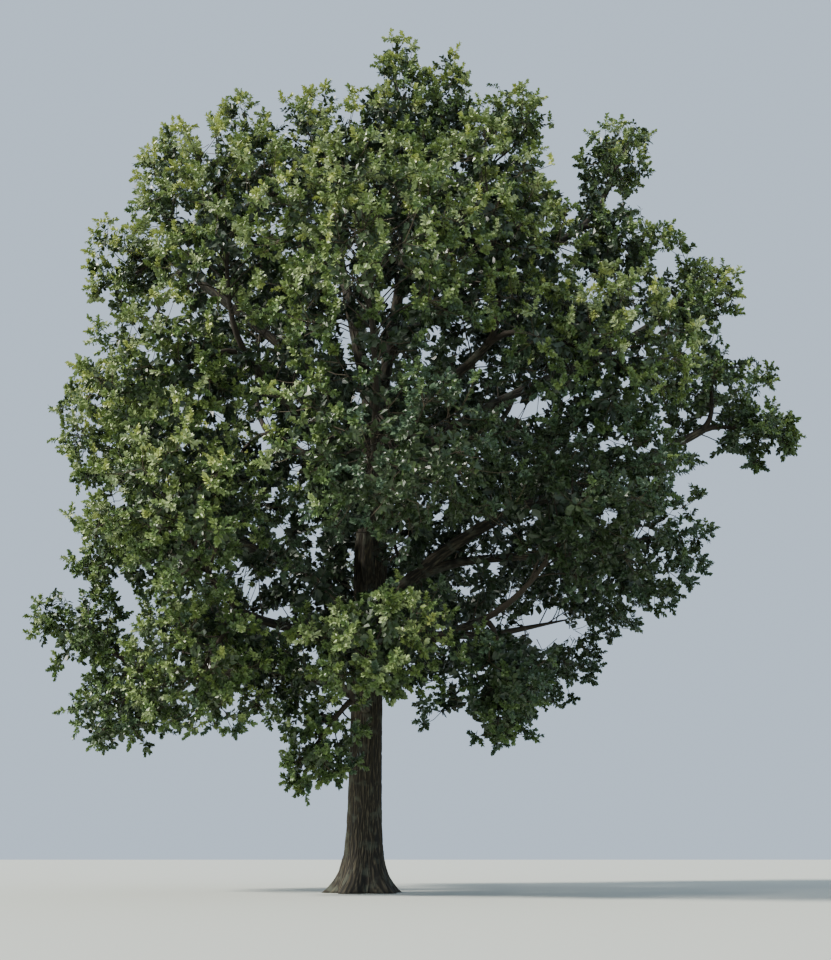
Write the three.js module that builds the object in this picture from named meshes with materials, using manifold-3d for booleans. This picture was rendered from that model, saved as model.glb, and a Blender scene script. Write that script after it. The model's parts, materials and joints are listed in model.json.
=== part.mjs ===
// A large open-grown oak: one flared trunk that forks, its main boughs, and the masses of foliage on them.
// Millimetres, +Z up. The origin is the middle of the flat cut at ground level. +X is right, +Y is back.

import * as THREE from 'three';
import { mergeVertices } from 'three/addons/utils/BufferGeometryUtils.js';
import Module from 'manifold-3d';

const wasm = await Module();
wasm.setup();

const metre = 1000;
const fitGap = 0.35;

// Trunk, in metres: half its thickness, the spread of its foot, and the swelling where the boughs leave
const trunk = {
  forkHeight: 16.6,
  lean: 0.25,
  radiusLow: 0.58,
  radiusHigh: 0.43,
  footSpread: 0.56,
  footHeight: 0.62,
  buttresses: 5,
  buttressDepth: 0.2,
  buttressHeight: 0.75,
  buttressTurn: 0.6,
  swelling: 0.09,
  swellingHeight: 10.6,
  swellingReach: 1.8,
  shoulder: 0.9,
  shoulderRadius: 0.2,
  sides: 15,
  ringHeights: [0, 0.25, 0.6, 1.0, 1.6, 2.6, 4.2, 6.5, 8.8, 10.4, 12.2, 14.2, 15.7, 16.2, 16.6],
};

// Limbs, in metres, degrees and shares of the limb's length
const limbShape = {
  sides: 6,
  rings: 5,
  collar: 0.45,
  collarLength: 0.9,
  tipRadius: 0.14,
  taperPower: 0.8,
  startRise: 24,
  steepestStart: 82,
  bendIn: 0.38,
  bendOut: 0.3,
  sway: 0.022,
  entry: 0.72,
  entryOfPair: 0.55,
  furthestSideStem: 0.85,
};

// Foliage, in metres, degrees and shares of the mass's half size
const foliage = {
  twigsPerMetre: 1.1,
  fewestTwigs: 3,
  twigSpread: 1.3,
  lowestTwig: 0.3,
  highestTwig: 0.96,
  twigEnd: 0.52,
  twigVariation: 0.2,
  twigRadius: 0.042,
  twigEndRadius: 0.036,
  stemFootRadius: 0.06,
  stemTopRadius: 0.05,
  stemTop: 0.25,
  stemOffset: 0.074,
  stemSunk: 0.08,
  leafLength: 0.55,
  leafLengthMore: 0.75,
  leafVariation: 0.25,
  leafWidth: 0.84,
  leafWidest: 0.42,
  leafThickness: 0.05,
  endLeaf: 1.2,
  leafSpread: 66,
  leafSeats: [0.5, 0.72, 0.9],
  rootPastAxis: 0.008,
  rootPastEnd: 0.018,
  sizesTried: [1, 0.85, 0.7, 0.55],
  reach: 0.99,
  wallGap: 0.05,
  woodGap: 0.07,
  leafGap: 0.09,
  rootZone: 0.2,
  samplePitch: 0.1,
};

// Masses within this distance of the crown's middle plane, in metres, are deeper than they are wide, so that
// the crown closes from front to back
const middlePlane = { distance: 2.5, depthShare: 1.5 };

// One mass: how far right, how far back and how high its middle is, half its width and half its height
function mass(name, right, back, height, halfWidth, halfHeight) {
  const depthShare = Math.abs(back) < middlePlane.distance ? middlePlane.depthShare : 1;
  return {
    name: `foliage_${name}`,
    middle: new THREE.Vector3(right, back, height).multiplyScalar(metre),
    half: new THREE.Vector3(halfWidth, halfWidth * depthShare, halfHeight).multiplyScalar(metre),
    meanHalf: ((2 * halfWidth + halfHeight) / 3) * metre,
  };
}

// One limb: what it grows from, the height it starts at, half its thickness there, the masses at its tip,
// and any masses that grow from its side
function limb(name, parent, height, radius, atTip, atSide = []) {
  return { name, parent, height: height * metre, radius: radius * metre, atTip, atSide };
}

const limbs = [
  limb('leader_left', 'trunk', 15.3, 0.28, [
    mass('crest_left', -2.2, 0.5, 26.9, 2.3, 2.9),
  ], [
    mass('shoulder_left', -5.15, 0.6, 26.7, 1.95, 3.0),
    mass('front_crest', 0.6, -4.3, 23.5, 3.0, 3.1),
  ]),
  limb('leader_right', 'trunk', 15.3, 0.26, [
    mass('top_left', 1.3, 0.2, 28.7, 1.65, 3.9),
    mass('top_right', 2.75, 0.7, 28.4, 1.4, 4.1),
  ], [
    mass('shoulder_right', 5.25, 0.2, 27.0, 1.9, 3.8),
    mass('back_crest', 1.0, 4.4, 26.1, 3.4, 3.4),
  ]),
  limb('bough_upper_left', 'trunk', 13.8, 0.2, [
    mass('left_upper', -7.3, -0.5, 24.8, 2.0, 2.8),
    mass('left_high', -8.75, 0.3, 21.8, 2.1, 2.5),
  ]),
  limb('bough_upper_right', 'leader_right', 18.2, 0.17, [
    mass('right_upper', 9.3, 0.4, 26.3, 2.0, 2.4),
    mass('right_high', 8.9, -0.8, 22.6, 2.3, 1.9),
  ]),
  limb('bough_right_high', 'trunk', 12.5, 0.2, [
    mass('right_lobe', 11.75, 0.4, 20.8, 2.1, 2.6),
  ]),
  limb('bough_front_left_high', 'trunk', 12.4, 0.19, [
    mass('front_left_high', -4.4, -5.8, 20.6, 3.5, 3.6),
    mass('front_left', -5.7, -6.2, 15.0, 3.3, 3.0),
  ]),
  limb('bough_front_right_high', 'trunk', 14.0, 0.19, [
    mass('front_right_high', 3.9, -6.4, 20.2, 3.4, 3.6),
    mass('front_right', 7.0, -6.2, 15.9, 3.6, 3.2),
  ]),
  limb('bough_back_right_high', 'trunk', 13.2, 0.19, [
    mass('back_right_high', 6.4, 5.4, 22.4, 3.8, 3.6),
    mass('back_right', 6.6, 8.4, 15.9, 3.6, 3.2),
  ]),
  limb('bough_back_left_high', 'trunk', 12.3, 0.19, [
    mass('back_left_high', -4.8, 5.8, 22.2, 3.7, 3.5),
    mass('back_left', -6.3, 5.3, 14.7, 3.7, 3.3),
  ]),
  limb('bough_right_main', 'trunk', 8.5, 0.25, [
    mass('right_spray', 13.95, 0.2, 15.45, 1.55, 1.25),
    mass('right_outer', 12.2, 0.0, 17.2, 2.3, 2.05),
  ]),
  limb('bough_right_low', 'bough_right_main', 10.0, 0.16, [
    mass('right_low', 9.2, 0.3, 11.6, 3.05, 3.1),
  ]),
  limb('bough_left_main', 'trunk', 8.3, 0.23, [
    mass('left_middle', -8.85, -0.4, 15.5, 2.5, 2.8),
    mass('left_outer', -8.2, -0.4, 11.7, 2.4, 2.7),
  ]),
  limb('bough_front', 'trunk', 9.6, 0.2, [
    mass('front_high', 0.2, -9.2, 17.6, 3.8, 3.6),
    mass('front_middle', 1.0, -9.2, 11.7, 3.7, 2.9),
  ]),
  limb('bough_back', 'trunk', 9.9, 0.2, [
    mass('back_high', 0.2, 9.2, 18.2, 3.8, 3.5),
    mass('back_middle', 1.2, 9.4, 12.0, 3.7, 3.1),
  ]),
  limb('bough_front_left_low', 'trunk', 7.1, 0.19, [
    mass('front_left_middle', -5.2, -6.6, 10.6, 3.2, 2.8),
    mass('front_left_low', -4.6, -4.0, 6.7, 2.9, 2.4),
  ]),
  limb('bough_front_right_low', 'trunk', 6.8, 0.18, [
    mass('front_right_middle', 6.8, -6.0, 11.3, 3.5, 2.9),
    mass('front_right_low', 4.1, -3.0, 6.3, 2.8, 2.2),
  ]),
  limb('bough_back_right_low', 'trunk', 7.4, 0.18, [
    mass('back_right_low', 6.8, 5.2, 9.6, 3.8, 3.4),
  ]),
  limb('bough_back_left_low', 'trunk', 7.8, 0.18, [
    mass('back_left_low', -5.6, 5.6, 9.4, 3.8, 3.4),
  ]),
  limb('bough_left_low', 'trunk', 6.0, 0.17, [
    mass('left_tip', -9.6, -0.3, 8.4, 1.8, 1.9),
    mass('left_low', -8.0, 0.6, 6.3, 2.5, 2.2),
  ]),
  limb('bough_front_low', 'trunk', 5.6, 0.15, [
    mass('front_low', 0.5, -6.3, 6.9, 2.4, 1.9),
    mass('front_hanging', -1.2, -3.6, 4.5, 1.5, 2.1),
  ]),
];

const masses = limbs.flatMap((one) => [...one.atTip, ...one.atSide]);

const barkLook = { color: 0x6b6257, roughness: 0.92, metalness: 0 };
const leafGreens = [0x3f5a26, 0x4a6a2b, 0x36502a, 0x557332];
const leafLook = { roughness: 0.8, metalness: 0 };

const { lerp, smoothstep, degToRad } = THREE.MathUtils;
const goldenAngle = Math.PI * (3 - Math.sqrt(5));
const upward = new THREE.Vector3(0, 0, 1);
const backward = new THREE.Vector3(0, 1, 0);

// The same row of numbers from 0 to 1 on every run
function seededDraws(seed) {
  let state = seed;
  return () => {
    state = (Math.imul(state, 1664525) + 1013904223) >>> 0;
    return state / 2 ** 32;
  };
}

// A direction square to this one, as level as can be
function squareTo(direction) {
  const square = new THREE.Vector3().crossVectors(upward, direction);
  return square.length() > 0.05 ? square.normalize() : backward.clone();
}

// Only the places of the corners, each shared corner once
function bareGeometry(geometry) {
  geometry.deleteAttribute('normal');
  geometry.deleteAttribute('uv');
  return mergeVertices(geometry);
}

function solidFrom(geometry) {
  const vertProperties = new Float32Array(geometry.getAttribute('position').array);
  const triVerts = new Uint32Array(geometry.getIndex().array);
  return new wasm.Manifold(new wasm.Mesh({ numProp: 3, vertProperties, triVerts }));
}

// A regular outline with its corners one away from the middle
function roundOutline(sides) {
  const corners = Array.from({ length: sides }, (_, corner) => (2 * Math.PI * corner) / sides);
  return new THREE.Shape(corners.map((angle) => new THREE.Vector2(Math.cos(angle), Math.sin(angle))));
}

// The two directions square to a path at a share of the way. The path says which way is sideways.
function frameAt(path, share) {
  const tangent = path.getTangent(share);
  const across = new THREE.Vector3().crossVectors(tangent, path.sideways).normalize();
  const beside = new THREE.Vector3().crossVectors(tangent, across);
  return { tangent, across, beside };
}

// Bends a closed tube along a path. radiusAt gives its radius at a share of the way and an angle round it,
// and each end is carried further by the extra length.
function tubeSolid(path, radiusAt, sides, shares, extraLength = 0) {
  const rings = shares.length - 1;
  const size = { depth: rings, steps: rings, bevelEnabled: false };
  const tube = bareGeometry(new THREE.ExtrudeGeometry(roundOutline(sides), size));
  const position = tube.getAttribute('position');
  for (let i = 0; i < position.count; i += 1) {
    const ring = Math.round(position.getZ(i));
    const share = shares[ring];
    const angle = Math.atan2(position.getY(i), position.getX(i));
    const radius = radiusAt(share, angle);
    const { tangent, across, beside } = frameAt(path, share);
    const point = path.getPoint(share);
    point.addScaledVector(across, radius * Math.cos(angle));
    point.addScaledVector(beside, radius * Math.sin(angle));
    if (ring === 0) {
      point.addScaledVector(tangent, -extraLength);
    }
    if (ring === rings) {
      point.addScaledVector(tangent, extraLength);
    }
    position.setXYZ(i, point.x, point.y, point.z);
  }
  return solidFrom(tube);
}

function evenShares(rings) {
  return Array.from({ length: rings + 1 }, (_, ring) => ring / rings);
}

// The largest piece of a solid: loose scraps and sealed hollows are dropped
function largestPiece(solid) {
  return solid.decompose().reduce((best, piece) => (piece.volume() > best.volume() ? piece : best));
}

// The trunk's axis: upright at the foot, a little to the right by the fork
class TrunkPath extends THREE.Curve {
  sideways = backward;

  getPoint(share) {
    return new THREE.Vector3(trunk.lean * share * share, 0, trunk.forkHeight * share).multiplyScalar(metre);
  }

  getTangent() {
    return upward.clone();
  }
}

function trunkRadius(share, angle) {
  const height = share * trunk.forkHeight;
  const taper = lerp(trunk.radiusLow, trunk.radiusHigh, share);
  const spread = trunk.footSpread * Math.exp(-height / trunk.footHeight);
  const wave = Math.cos(trunk.buttresses * angle + trunk.buttressTurn);
  const ridge = 1 + trunk.buttressDepth * wave * Math.exp(-height / trunk.buttressHeight);
  const fromSwelling = (height - trunk.swellingHeight) / trunk.swellingReach;
  const swelling = trunk.swelling * Math.exp(-(fromSwelling ** 2));
  const closing = smoothstep(height, trunk.forkHeight - trunk.shoulder, trunk.forkHeight);
  return lerp((taper + spread + swelling) * ridge, trunk.shoulderRadius, closing) * metre;
}

// A limb's axis: it leaves its parent rising, eases over and heads into its foliage, swaying a little
class LimbPath extends THREE.Curve {
  constructor(start, end, startDirection, endDirection, phase) {
    super();
    const length = start.distanceTo(end);
    const leave = start.clone().addScaledVector(startDirection, limbShape.bendIn * length);
    const arrive = end.clone().addScaledVector(endDirection, -limbShape.bendOut * length);
    this.length = length;
    this.curve = new THREE.CubicBezierCurve3(start, leave, arrive, end);
    this.phase = phase;
    this.sideways = squareTo(end.clone().sub(start));
  }

  getPoint(share) {
    const swing = Math.sin(2 * Math.PI * share + this.phase) * Math.sin(Math.PI * share);
    return this.curve.getPoint(share).addScaledVector(this.sideways, swing * limbShape.sway * this.length);
  }

  getTangent(share) {
    const step = 0.01;
    const before = this.getPoint(Math.max(0, share - step));
    const after = this.getPoint(Math.min(1, share + step));
    return after.sub(before).normalize();
  }
}

function limbRadius(one, share) {
  const taper = lerp(one.radius, limbShape.tipRadius * metre, share ** limbShape.taperPower);
  const fromStart = (share * one.path.length) / metre;
  return taper * (1 + limbShape.collar * Math.exp(-fromStart / limbShape.collarLength));
}

// The share of a rising path at which it reaches a height
function shareAtHeight(path, height) {
  let low = 0;
  let high = 1;
  for (let halving = 0; halving < 30; halving += 1) {
    const middle = (low + high) / 2;
    if (path.getPoint(middle).z < height) {
      low = middle;
    } else {
      high = middle;
    }
  }
  return low;
}

const trunkPath = new TrunkPath();
const pathOf = { trunk: trunkPath };

// A limb aims at the middle of the masses at its tip, and ends where it enters them
function layLimb(one, index) {
  const middles = one.atTip.map((tip) => tip.middle);
  const target = new THREE.Vector3();
  middles.forEach((middle) => target.addScaledVector(middle, 1 / middles.length));
  const parentPath = pathOf[one.parent];
  const start = parentPath.getPoint(shareAtHeight(parentPath, one.height));
  const heading = target.clone().sub(start).normalize();
  const halfWidth = one.atTip.reduce((sum, tip) => sum + tip.half.x, 0) / one.atTip.length;
  const apart = middles[0].distanceTo(middles[middles.length - 1]) / 2;
  const short = Math.max(limbShape.entry * halfWidth, limbShape.entryOfPair * apart);
  const end = target.clone().addScaledVector(heading, -short);
  const level = new THREE.Vector3(heading.x, heading.y, 0);
  const rise = Math.atan2(heading.z, level.length()) + degToRad(limbShape.startRise);
  const startRise = Math.min(rise, degToRad(limbShape.steepestStart));
  const startDirection = level.normalize().multiplyScalar(Math.cos(startRise));
  startDirection.z = Math.sin(startRise);
  one.path = new LimbPath(start, end, startDirection, heading, index * goldenAngle);
  pathOf[one.name] = one.path;
}

// A mass keeps to an ellipsoid, walled off from each neighbour where the two are equally near
function wallOff(one) {
  one.walls = masses.filter((other) => other !== one).map((other) => {
    const normal = other.middle.clone().sub(one.middle);
    const apart = normal.length();
    const distance = (apart ** 2 + one.meanHalf ** 2 - other.meanHalf ** 2) / (2 * apart);
    return { normal: normal.normalize(), distance: distance - foliage.wallGap * metre };
  });
}

function spaceHolds(one, point) {
  const from = point.clone().sub(one.middle);
  const inside = from.clone().divide(one.half).length() <= foliage.reach;
  return inside && one.walls.every((wall) => from.dot(wall.normal) < wall.distance);
}

// How far a point can go in a direction before it leaves the mass's ellipsoid
function roomAhead(one, point, direction) {
  const from = point.clone().sub(one.middle).divide(one.half);
  const ahead = direction.clone().divide(one.half);
  const a = ahead.dot(ahead);
  const b = from.dot(ahead);
  const c = from.dot(from) - foliage.reach ** 2;
  return (Math.sqrt(Math.max(0, b * b - a * c)) - b) / a;
}

// A mass's stem runs from its foot through the middle of the mass
function layStem(one, limbName, foot, footDirection) {
  const outward = one.middle.clone().sub(foot).normalize();
  const top = one.middle.clone().addScaledVector(outward, foliage.stemTop * one.meanHalf);
  const start = foot.clone().addScaledVector(footDirection, -foliage.stemSunk * metre);
  one.limb = limbName;
  one.foot = foot;
  one.outward = outward;
  one.stem = new THREE.LineCurve3(start, top);
  one.stem.sideways = squareTo(outward);
}

function stemRadius(share) {
  return lerp(foliage.stemFootRadius, foliage.stemTopRadius, share) * metre;
}

// The stems at a limb's tip stand side by side on its end
function layStemsAtTip(one) {
  const tip = one.path.getPoint(1);
  const tipDirection = one.path.getTangent(1);
  one.atTip.forEach((tipMass) => {
    const aside = tipMass.middle.clone().sub(tip);
    aside.addScaledVector(tipDirection, -aside.dot(tipDirection)).normalize();
    const offset = one.atTip.length > 1 ? foliage.stemOffset * metre : 0;
    layStem(tipMass, one.name, tip.clone().addScaledVector(aside, offset), tipDirection);
  });
}

// A stem from a limb's side leaves low enough to rise at about half a right angle
function layStemsAtSide(one) {
  one.atSide.forEach((sideMass) => {
    const axis = one.path.getPoint(0.5);
    const away = Math.hypot(sideMass.middle.x - axis.x, sideMass.middle.y - axis.y);
    const share = shareAtHeight(one.path, sideMass.middle.z - away);
    const foot = one.path.getPoint(Math.min(share, limbShape.furthestSideStem));
    layStem(sideMass, one.name, foot, sideMass.middle.clone().sub(foot).normalize());
  });
}

limbs.forEach(layLimb);
limbs.forEach(layStemsAtTip);
limbs.forEach(layStemsAtSide);
masses.forEach(wallOff);

// Points along wood, with its radius there, that foliage keeps clear of
function woodPoints(owner, path, radiusAt) {
  const steps = Math.ceil(path.getLength() / (foliage.samplePitch * metre));
  return evenShares(steps).map((share) => ({ owner, point: path.getPoint(share), radius: radiusAt(share) }));
}

const wood = [
  ...woodPoints('trunk', trunkPath, (share) => trunkRadius(share, 0)),
  ...limbs.flatMap((one) => woodPoints(one.name, one.path, (share) => limbRadius(one, share))),
  ...masses.flatMap((one) => woodPoints(one.name, one.stem, stemRadius)),
];

function touches(obstacles, point, gap) {
  return obstacles.some(({ point: middle, radius }) => point.distanceTo(middle) < radius + gap * metre);
}

// A twig: where it leaves the stem, where it ends, and which way round it sits
function twigPath(from, to, spin) {
  const path = new THREE.LineCurve3(from, to);
  const direction = path.getTangent(0);
  path.sideways = squareTo(direction).applyAxisAngle(direction, spin);
  return path;
}

function twigFits(one, nearby, path) {
  if (!spaceHolds(one, path.v2)) {
    return false;
  }
  const steps = Math.ceil(path.getLength() / (foliage.samplePitch * metre));
  return evenShares(steps).every((share) => (
    !touches(nearby, path.getPoint(share), foliage.twigRadius + foliage.woodGap)
  ));
}

function twigSolid(path) {
  const radiusAt = (share) => lerp(foliage.twigRadius, foliage.twigEndRadius, share) * metre;
  return tubeSolid(path, radiusAt, 3, [0, 1]);
}

// A flat leaf of eight faces that stands for a spray of leaves
function leafSolid({ root, direction, side, length }) {
  const leaf = bareGeometry(new THREE.OctahedronGeometry(1, 0));
  const face = new THREE.Vector3().crossVectors(direction, side);
  const position = leaf.getAttribute('position');
  for (let i = 0; i < position.count; i += 1) {
    const isEnd = Math.abs(position.getX(i)) > 0.5;
    const along = isEnd ? (position.getX(i) + 1) / 2 : foliage.leafWidest;
    const point = root.clone().addScaledVector(direction, along * length);
    point.addScaledVector(side, (position.getY(i) * foliage.leafWidth * length) / 2);
    point.addScaledVector(face, (position.getZ(i) * foliage.leafThickness * length) / 2);
    position.setXYZ(i, point.x, point.y, point.z);
  }
  return solidFrom(leaf);
}

// Points all over a leaf, with how far each is from the root
function leafPoints({ root, direction, side, length }) {
  const pitch = foliage.samplePitch * metre;
  const points = [];
  const rows = Math.ceil(length / pitch);
  for (let row = 1; row <= rows; row += 1) {
    const along = row / rows;
    const fullness = Math.min(along / foliage.leafWidest, (1 - along) / (1 - foliage.leafWidest));
    const halfWidth = (foliage.leafWidth * length * fullness) / 2;
    const columns = Math.ceil(halfWidth / pitch);
    for (let column = -columns; column <= columns; column += 1) {
      const point = root.clone().addScaledVector(direction, along * length);
      point.addScaledVector(side, columns ? (column / columns) * halfWidth : 0);
      points.push({ point, fromRoot: along * length, radius: 0 });
    }
  }
  return points;
}

// A leaf fits where it keeps to the space and clear of limbs, other stems, its own twigs and other leaves
function leafFits(one, nearby, ownWood, ownLeaves, leaf) {
  const widest = leaf.root.clone().addScaledVector(leaf.direction, foliage.leafWidest * leaf.length);
  const halfWidth = (foliage.leafWidth * leaf.length) / 2;
  const corners = [
    leaf.root.clone().addScaledVector(leaf.direction, leaf.length),
    widest.clone().addScaledVector(leaf.side, halfWidth),
    widest.clone().addScaledVector(leaf.side, -halfWidth),
  ];
  const isClear = ({ point, fromRoot }) => {
    if (touches(nearby, point, foliage.woodGap)) {
      return false;
    }
    const nearRoot = fromRoot < foliage.rootZone * metre;
    return nearRoot || !(touches(ownWood, point, 0) || touches(ownLeaves, point, foliage.leafGap));
  };
  return corners.every((corner) => spaceHolds(one, corner)) && leafPoints(leaf).every(isClear);
}

// A twig's leaves: one from each of its three faces, and one from its end
function leavesOf(one, path, wanted, draw) {
  const { tangent: direction, across, beside } = frameAt(path, 0);
  const spread = degToRad(foliage.leafSpread);
  const leaves = foliage.leafSeats.map((seat, face) => {
    const angle = (Math.PI * (1 + 2 * face)) / 3;
    const out = across.clone().multiplyScalar(Math.cos(angle)).addScaledVector(beside, Math.sin(angle));
    const heading = direction.clone().multiplyScalar(Math.cos(spread)).addScaledVector(out, Math.sin(spread));
    const root = path.getPoint(seat).addScaledVector(heading, -foliage.rootPastAxis * metre);
    const side = new THREE.Vector3().crossVectors(direction, heading).normalize();
    const length = wanted * (1 + foliage.leafVariation * (draw() - 0.5));
    return { root, direction: heading, side, length };
  });
  const root = path.v2.clone().addScaledVector(direction, -foliage.rootPastEnd * metre);
  const length = Math.min(roomAhead(one, root, direction), foliage.endLeaf * wanted);
  return [{ root, direction, side: beside, length }, ...leaves];
}

// A mass: twigs leave the stem all round, turned by the golden angle, and each carries its leaves
function massSolid(one, seed) {
  const draw = seededDraws(seed);
  const reach = one.half.length();
  const nearby = wood.filter(({ owner, point, radius }) => (
    owner !== one.name && point.distanceTo(one.middle) < reach + radius
  ));
  const ownWood = wood.filter(({ owner }) => owner === one.name);
  const ownLeaves = [];
  const stem = tubeSolid(one.stem, stemRadius, 3, [0, 1]);
  const solids = [stem.subtract(grown[one.limb])];
  const { across, beside } = frameAt(one.stem, 0);
  const twigs = Math.max(foliage.fewestTwigs, Math.round((foliage.twigsPerMetre * one.meanHalf) / metre));
  const leafLength = foliage.leafLength * one.meanHalf + foliage.leafLengthMore * metre;
  const phase = 2 * Math.PI * draw();
  for (let twig = 0; twig < twigs; twig += 1) {
    const cosine = 1 - (twig / (twigs - 1)) * foliage.twigSpread;
    const sine = Math.sqrt(1 - cosine * cosine);
    const turn = twig * goldenAngle + phase;
    const heading = one.outward.clone().multiplyScalar(cosine);
    heading.addScaledVector(across, sine * Math.cos(turn)).addScaledVector(beside, sine * Math.sin(turn));
    const from = one.stem.getPoint(lerp(foliage.lowestTwig, foliage.highestTwig, (1 + cosine) / 2));
    const endShare = foliage.twigEnd * (1 + foliage.twigVariation * (draw() - 0.5));
    const spin = 2 * Math.PI * draw();
    const path = foliage.sizesTried
      .map((size) => heading.clone().multiply(one.half).multiplyScalar(endShare * size).add(one.middle))
      .map((to) => twigPath(from, to, spin))
      .find((candidate) => twigFits(one, nearby, candidate));
    if (path) {
      solids.push(twigSolid(path));
      ownWood.push(...woodPoints(one.name, path, () => foliage.twigRadius * metre));
      leavesOf(one, path, leafLength, draw).forEach((wanted) => {
        const leaf = foliage.sizesTried
          .map((size) => ({ ...wanted, length: wanted.length * size }))
          .find((candidate) => leafFits(one, nearby, ownWood, ownLeaves, candidate));
        if (leaf) {
          solids.push(leafSolid(leaf));
          ownLeaves.push(...leafPoints(leaf));
        }
      });
    }
  }
  return wasm.Manifold.union(solids);
}

const tree = new THREE.Group();

// Adds a solid as a named mesh that is placed by the point it grows from
function addPart(name, solid, origin, look) {
  const place = origin.clone().round();
  const whole = largestPiece(solid).translate([-place.x, -place.y, -place.z]);
  const { vertProperties, triVerts } = whole.getMesh();
  const geometry = new THREE.BufferGeometry();
  geometry.setAttribute('position', new THREE.BufferAttribute(vertProperties, 3));
  geometry.setIndex(new THREE.BufferAttribute(triVerts, 1));
  geometry.computeVertexNormals();
  const mesh = new THREE.Mesh(geometry, new THREE.MeshStandardMaterial({ ...look, flatShading: true }));
  mesh.name = name;
  mesh.position.copy(place);
  tree.add(mesh);
}

function trunkSolid(extra) {
  const shares = trunk.ringHeights.map((height) => height / trunk.forkHeight);
  const radiusAt = (share, angle) => trunkRadius(share, angle) + extra;
  return tubeSolid(trunkPath, radiusAt, trunk.sides, shares, extra);
}

function limbSolid(one, extra) {
  const radiusAt = (share) => limbRadius(one, share) + extra;
  return tubeSolid(one.path, radiusAt, limbShape.sides, evenShares(limbShape.rings), extra);
}

// Each piece of wood a little larger all round, to cut what grows from it clear of it
const grown = { trunk: trunkSolid(fitGap) };
limbs.forEach((one) => {
  grown[one.name] = limbSolid(one, fitGap);
});

addPart('trunk', trunkSolid(0), new THREE.Vector3(), barkLook);

limbs.forEach((one) => {
  const cleared = limbSolid(one, 0).subtract(grown[one.parent]);
  const solid = one.name === 'leader_right' ? cleared.subtract(grown.leader_left) : cleared;
  addPart(one.name, solid, one.path.getPoint(0), barkLook);
});

masses.forEach((one, index) => {
  const color = leafGreens[index % leafGreens.length];
  addPart(one.name, massSolid(one, index + 1), one.foot, { ...leafLook, color });
});

export default tree;
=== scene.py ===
"""A large open-grown oak in summer leaf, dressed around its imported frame.

Metres, +Z up. The origin is the middle of the flat cut at ground level. +X is right, +Y is back.
The limbs and the masses of foliage follow the same rule as the frame, and are carried on to finer twigs.
"""

import json
import math

import bpy
import numpy as np
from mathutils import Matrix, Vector

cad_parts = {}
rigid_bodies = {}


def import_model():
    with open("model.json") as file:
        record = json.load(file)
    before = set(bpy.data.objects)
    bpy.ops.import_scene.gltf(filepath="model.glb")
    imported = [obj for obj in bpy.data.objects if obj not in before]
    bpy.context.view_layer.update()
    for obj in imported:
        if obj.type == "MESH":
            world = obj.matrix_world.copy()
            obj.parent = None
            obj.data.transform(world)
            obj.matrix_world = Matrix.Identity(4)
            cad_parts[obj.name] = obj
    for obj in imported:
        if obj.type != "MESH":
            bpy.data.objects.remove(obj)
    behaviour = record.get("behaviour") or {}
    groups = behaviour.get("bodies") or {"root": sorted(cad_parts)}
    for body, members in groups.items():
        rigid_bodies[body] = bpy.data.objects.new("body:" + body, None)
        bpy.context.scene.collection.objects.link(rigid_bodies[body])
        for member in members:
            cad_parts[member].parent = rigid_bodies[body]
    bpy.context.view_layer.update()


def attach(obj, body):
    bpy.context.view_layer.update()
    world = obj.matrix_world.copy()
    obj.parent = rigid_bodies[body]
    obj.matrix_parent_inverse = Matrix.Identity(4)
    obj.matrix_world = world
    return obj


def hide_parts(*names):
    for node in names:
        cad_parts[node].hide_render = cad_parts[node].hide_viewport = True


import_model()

# Viewpoint of the photograph: eye height, standing in front of the tree and looking up at it
EYE = np.array((1.65, -40.9, 1.21))
EYE_PITCH = math.radians(17.0)
LENS_MM = 45.75
SENSOR_MM = 36.0
PHOTO_WIDTH = 831
PHOTO_HEIGHT = 960

# Trunk
FORK_HEIGHT = 16.6
LEAN = 0.25
RADIUS_LOW = 0.58
RADIUS_HIGH = 0.43
FOOT_SPREAD = 0.56
FOOT_HEIGHT = 0.62
BUTTRESSES = 5
BUTTRESS_DEPTH = 0.2
BUTTRESS_HEIGHT = 0.75
BUTTRESS_TURN = 0.6
SWELLING = 0.09
SWELLING_HEIGHT = 10.6
SWELLING_REACH = 1.8
SHOULDER = 0.9
SHOULDER_RADIUS = 0.2

# Limbs, in metres, degrees and shares of the limb's length
COLLAR = 0.45
COLLAR_LENGTH = 0.9
LIMB_TIP_RADIUS = 0.14
TAPER_POWER = 0.8
START_RISE = 24.0
STEEPEST_START = 82.0
BEND_IN = 0.38
BEND_OUT = 0.3
SWAY = 0.022
ENTRY = 0.72
ENTRY_OF_PAIR = 0.55
SKIN_PITCH = 0.25

# Stems carry a limb on through its masses, in metres and shares of the stem's length or the mass's size
STEM_SET_BACK = 0.3
STEM_BEND_IN = 0.35
STEM_BEND_OUT = 0.4
STEM_TOP = 0.25
SINGLE_STEM_RADIUS = 0.135
PAIRED_STEM_RADIUS = 0.115
SIDE_STEM_RADIUS = 0.1
STEM_END_RADIUS = 0.03
FURTHEST_SIDE_STEM = 0.85

# Masses of foliage, in metres and shares of the mass's half size. Each reaches further towards the rest
# of the crown than away from it, so that the crown closes between them and keeps its outline. Those near
# the middle plane make that outline, and reach less far inwards.
REACH_OUTWARDS = 0.99
REACH_INWARDS = 1.36
REACH_INWARDS_AT_OUTLINE = 1.08
INWARDS_BELOW = -0.2
OUTWARDS_ABOVE = 0.35
MIDDLE_PLANE_DISTANCE = 2.5
MIDDLE_PLANE_DEPTH_SHARE = 1.5
WALL_OVERLAP = 0.3

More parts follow.
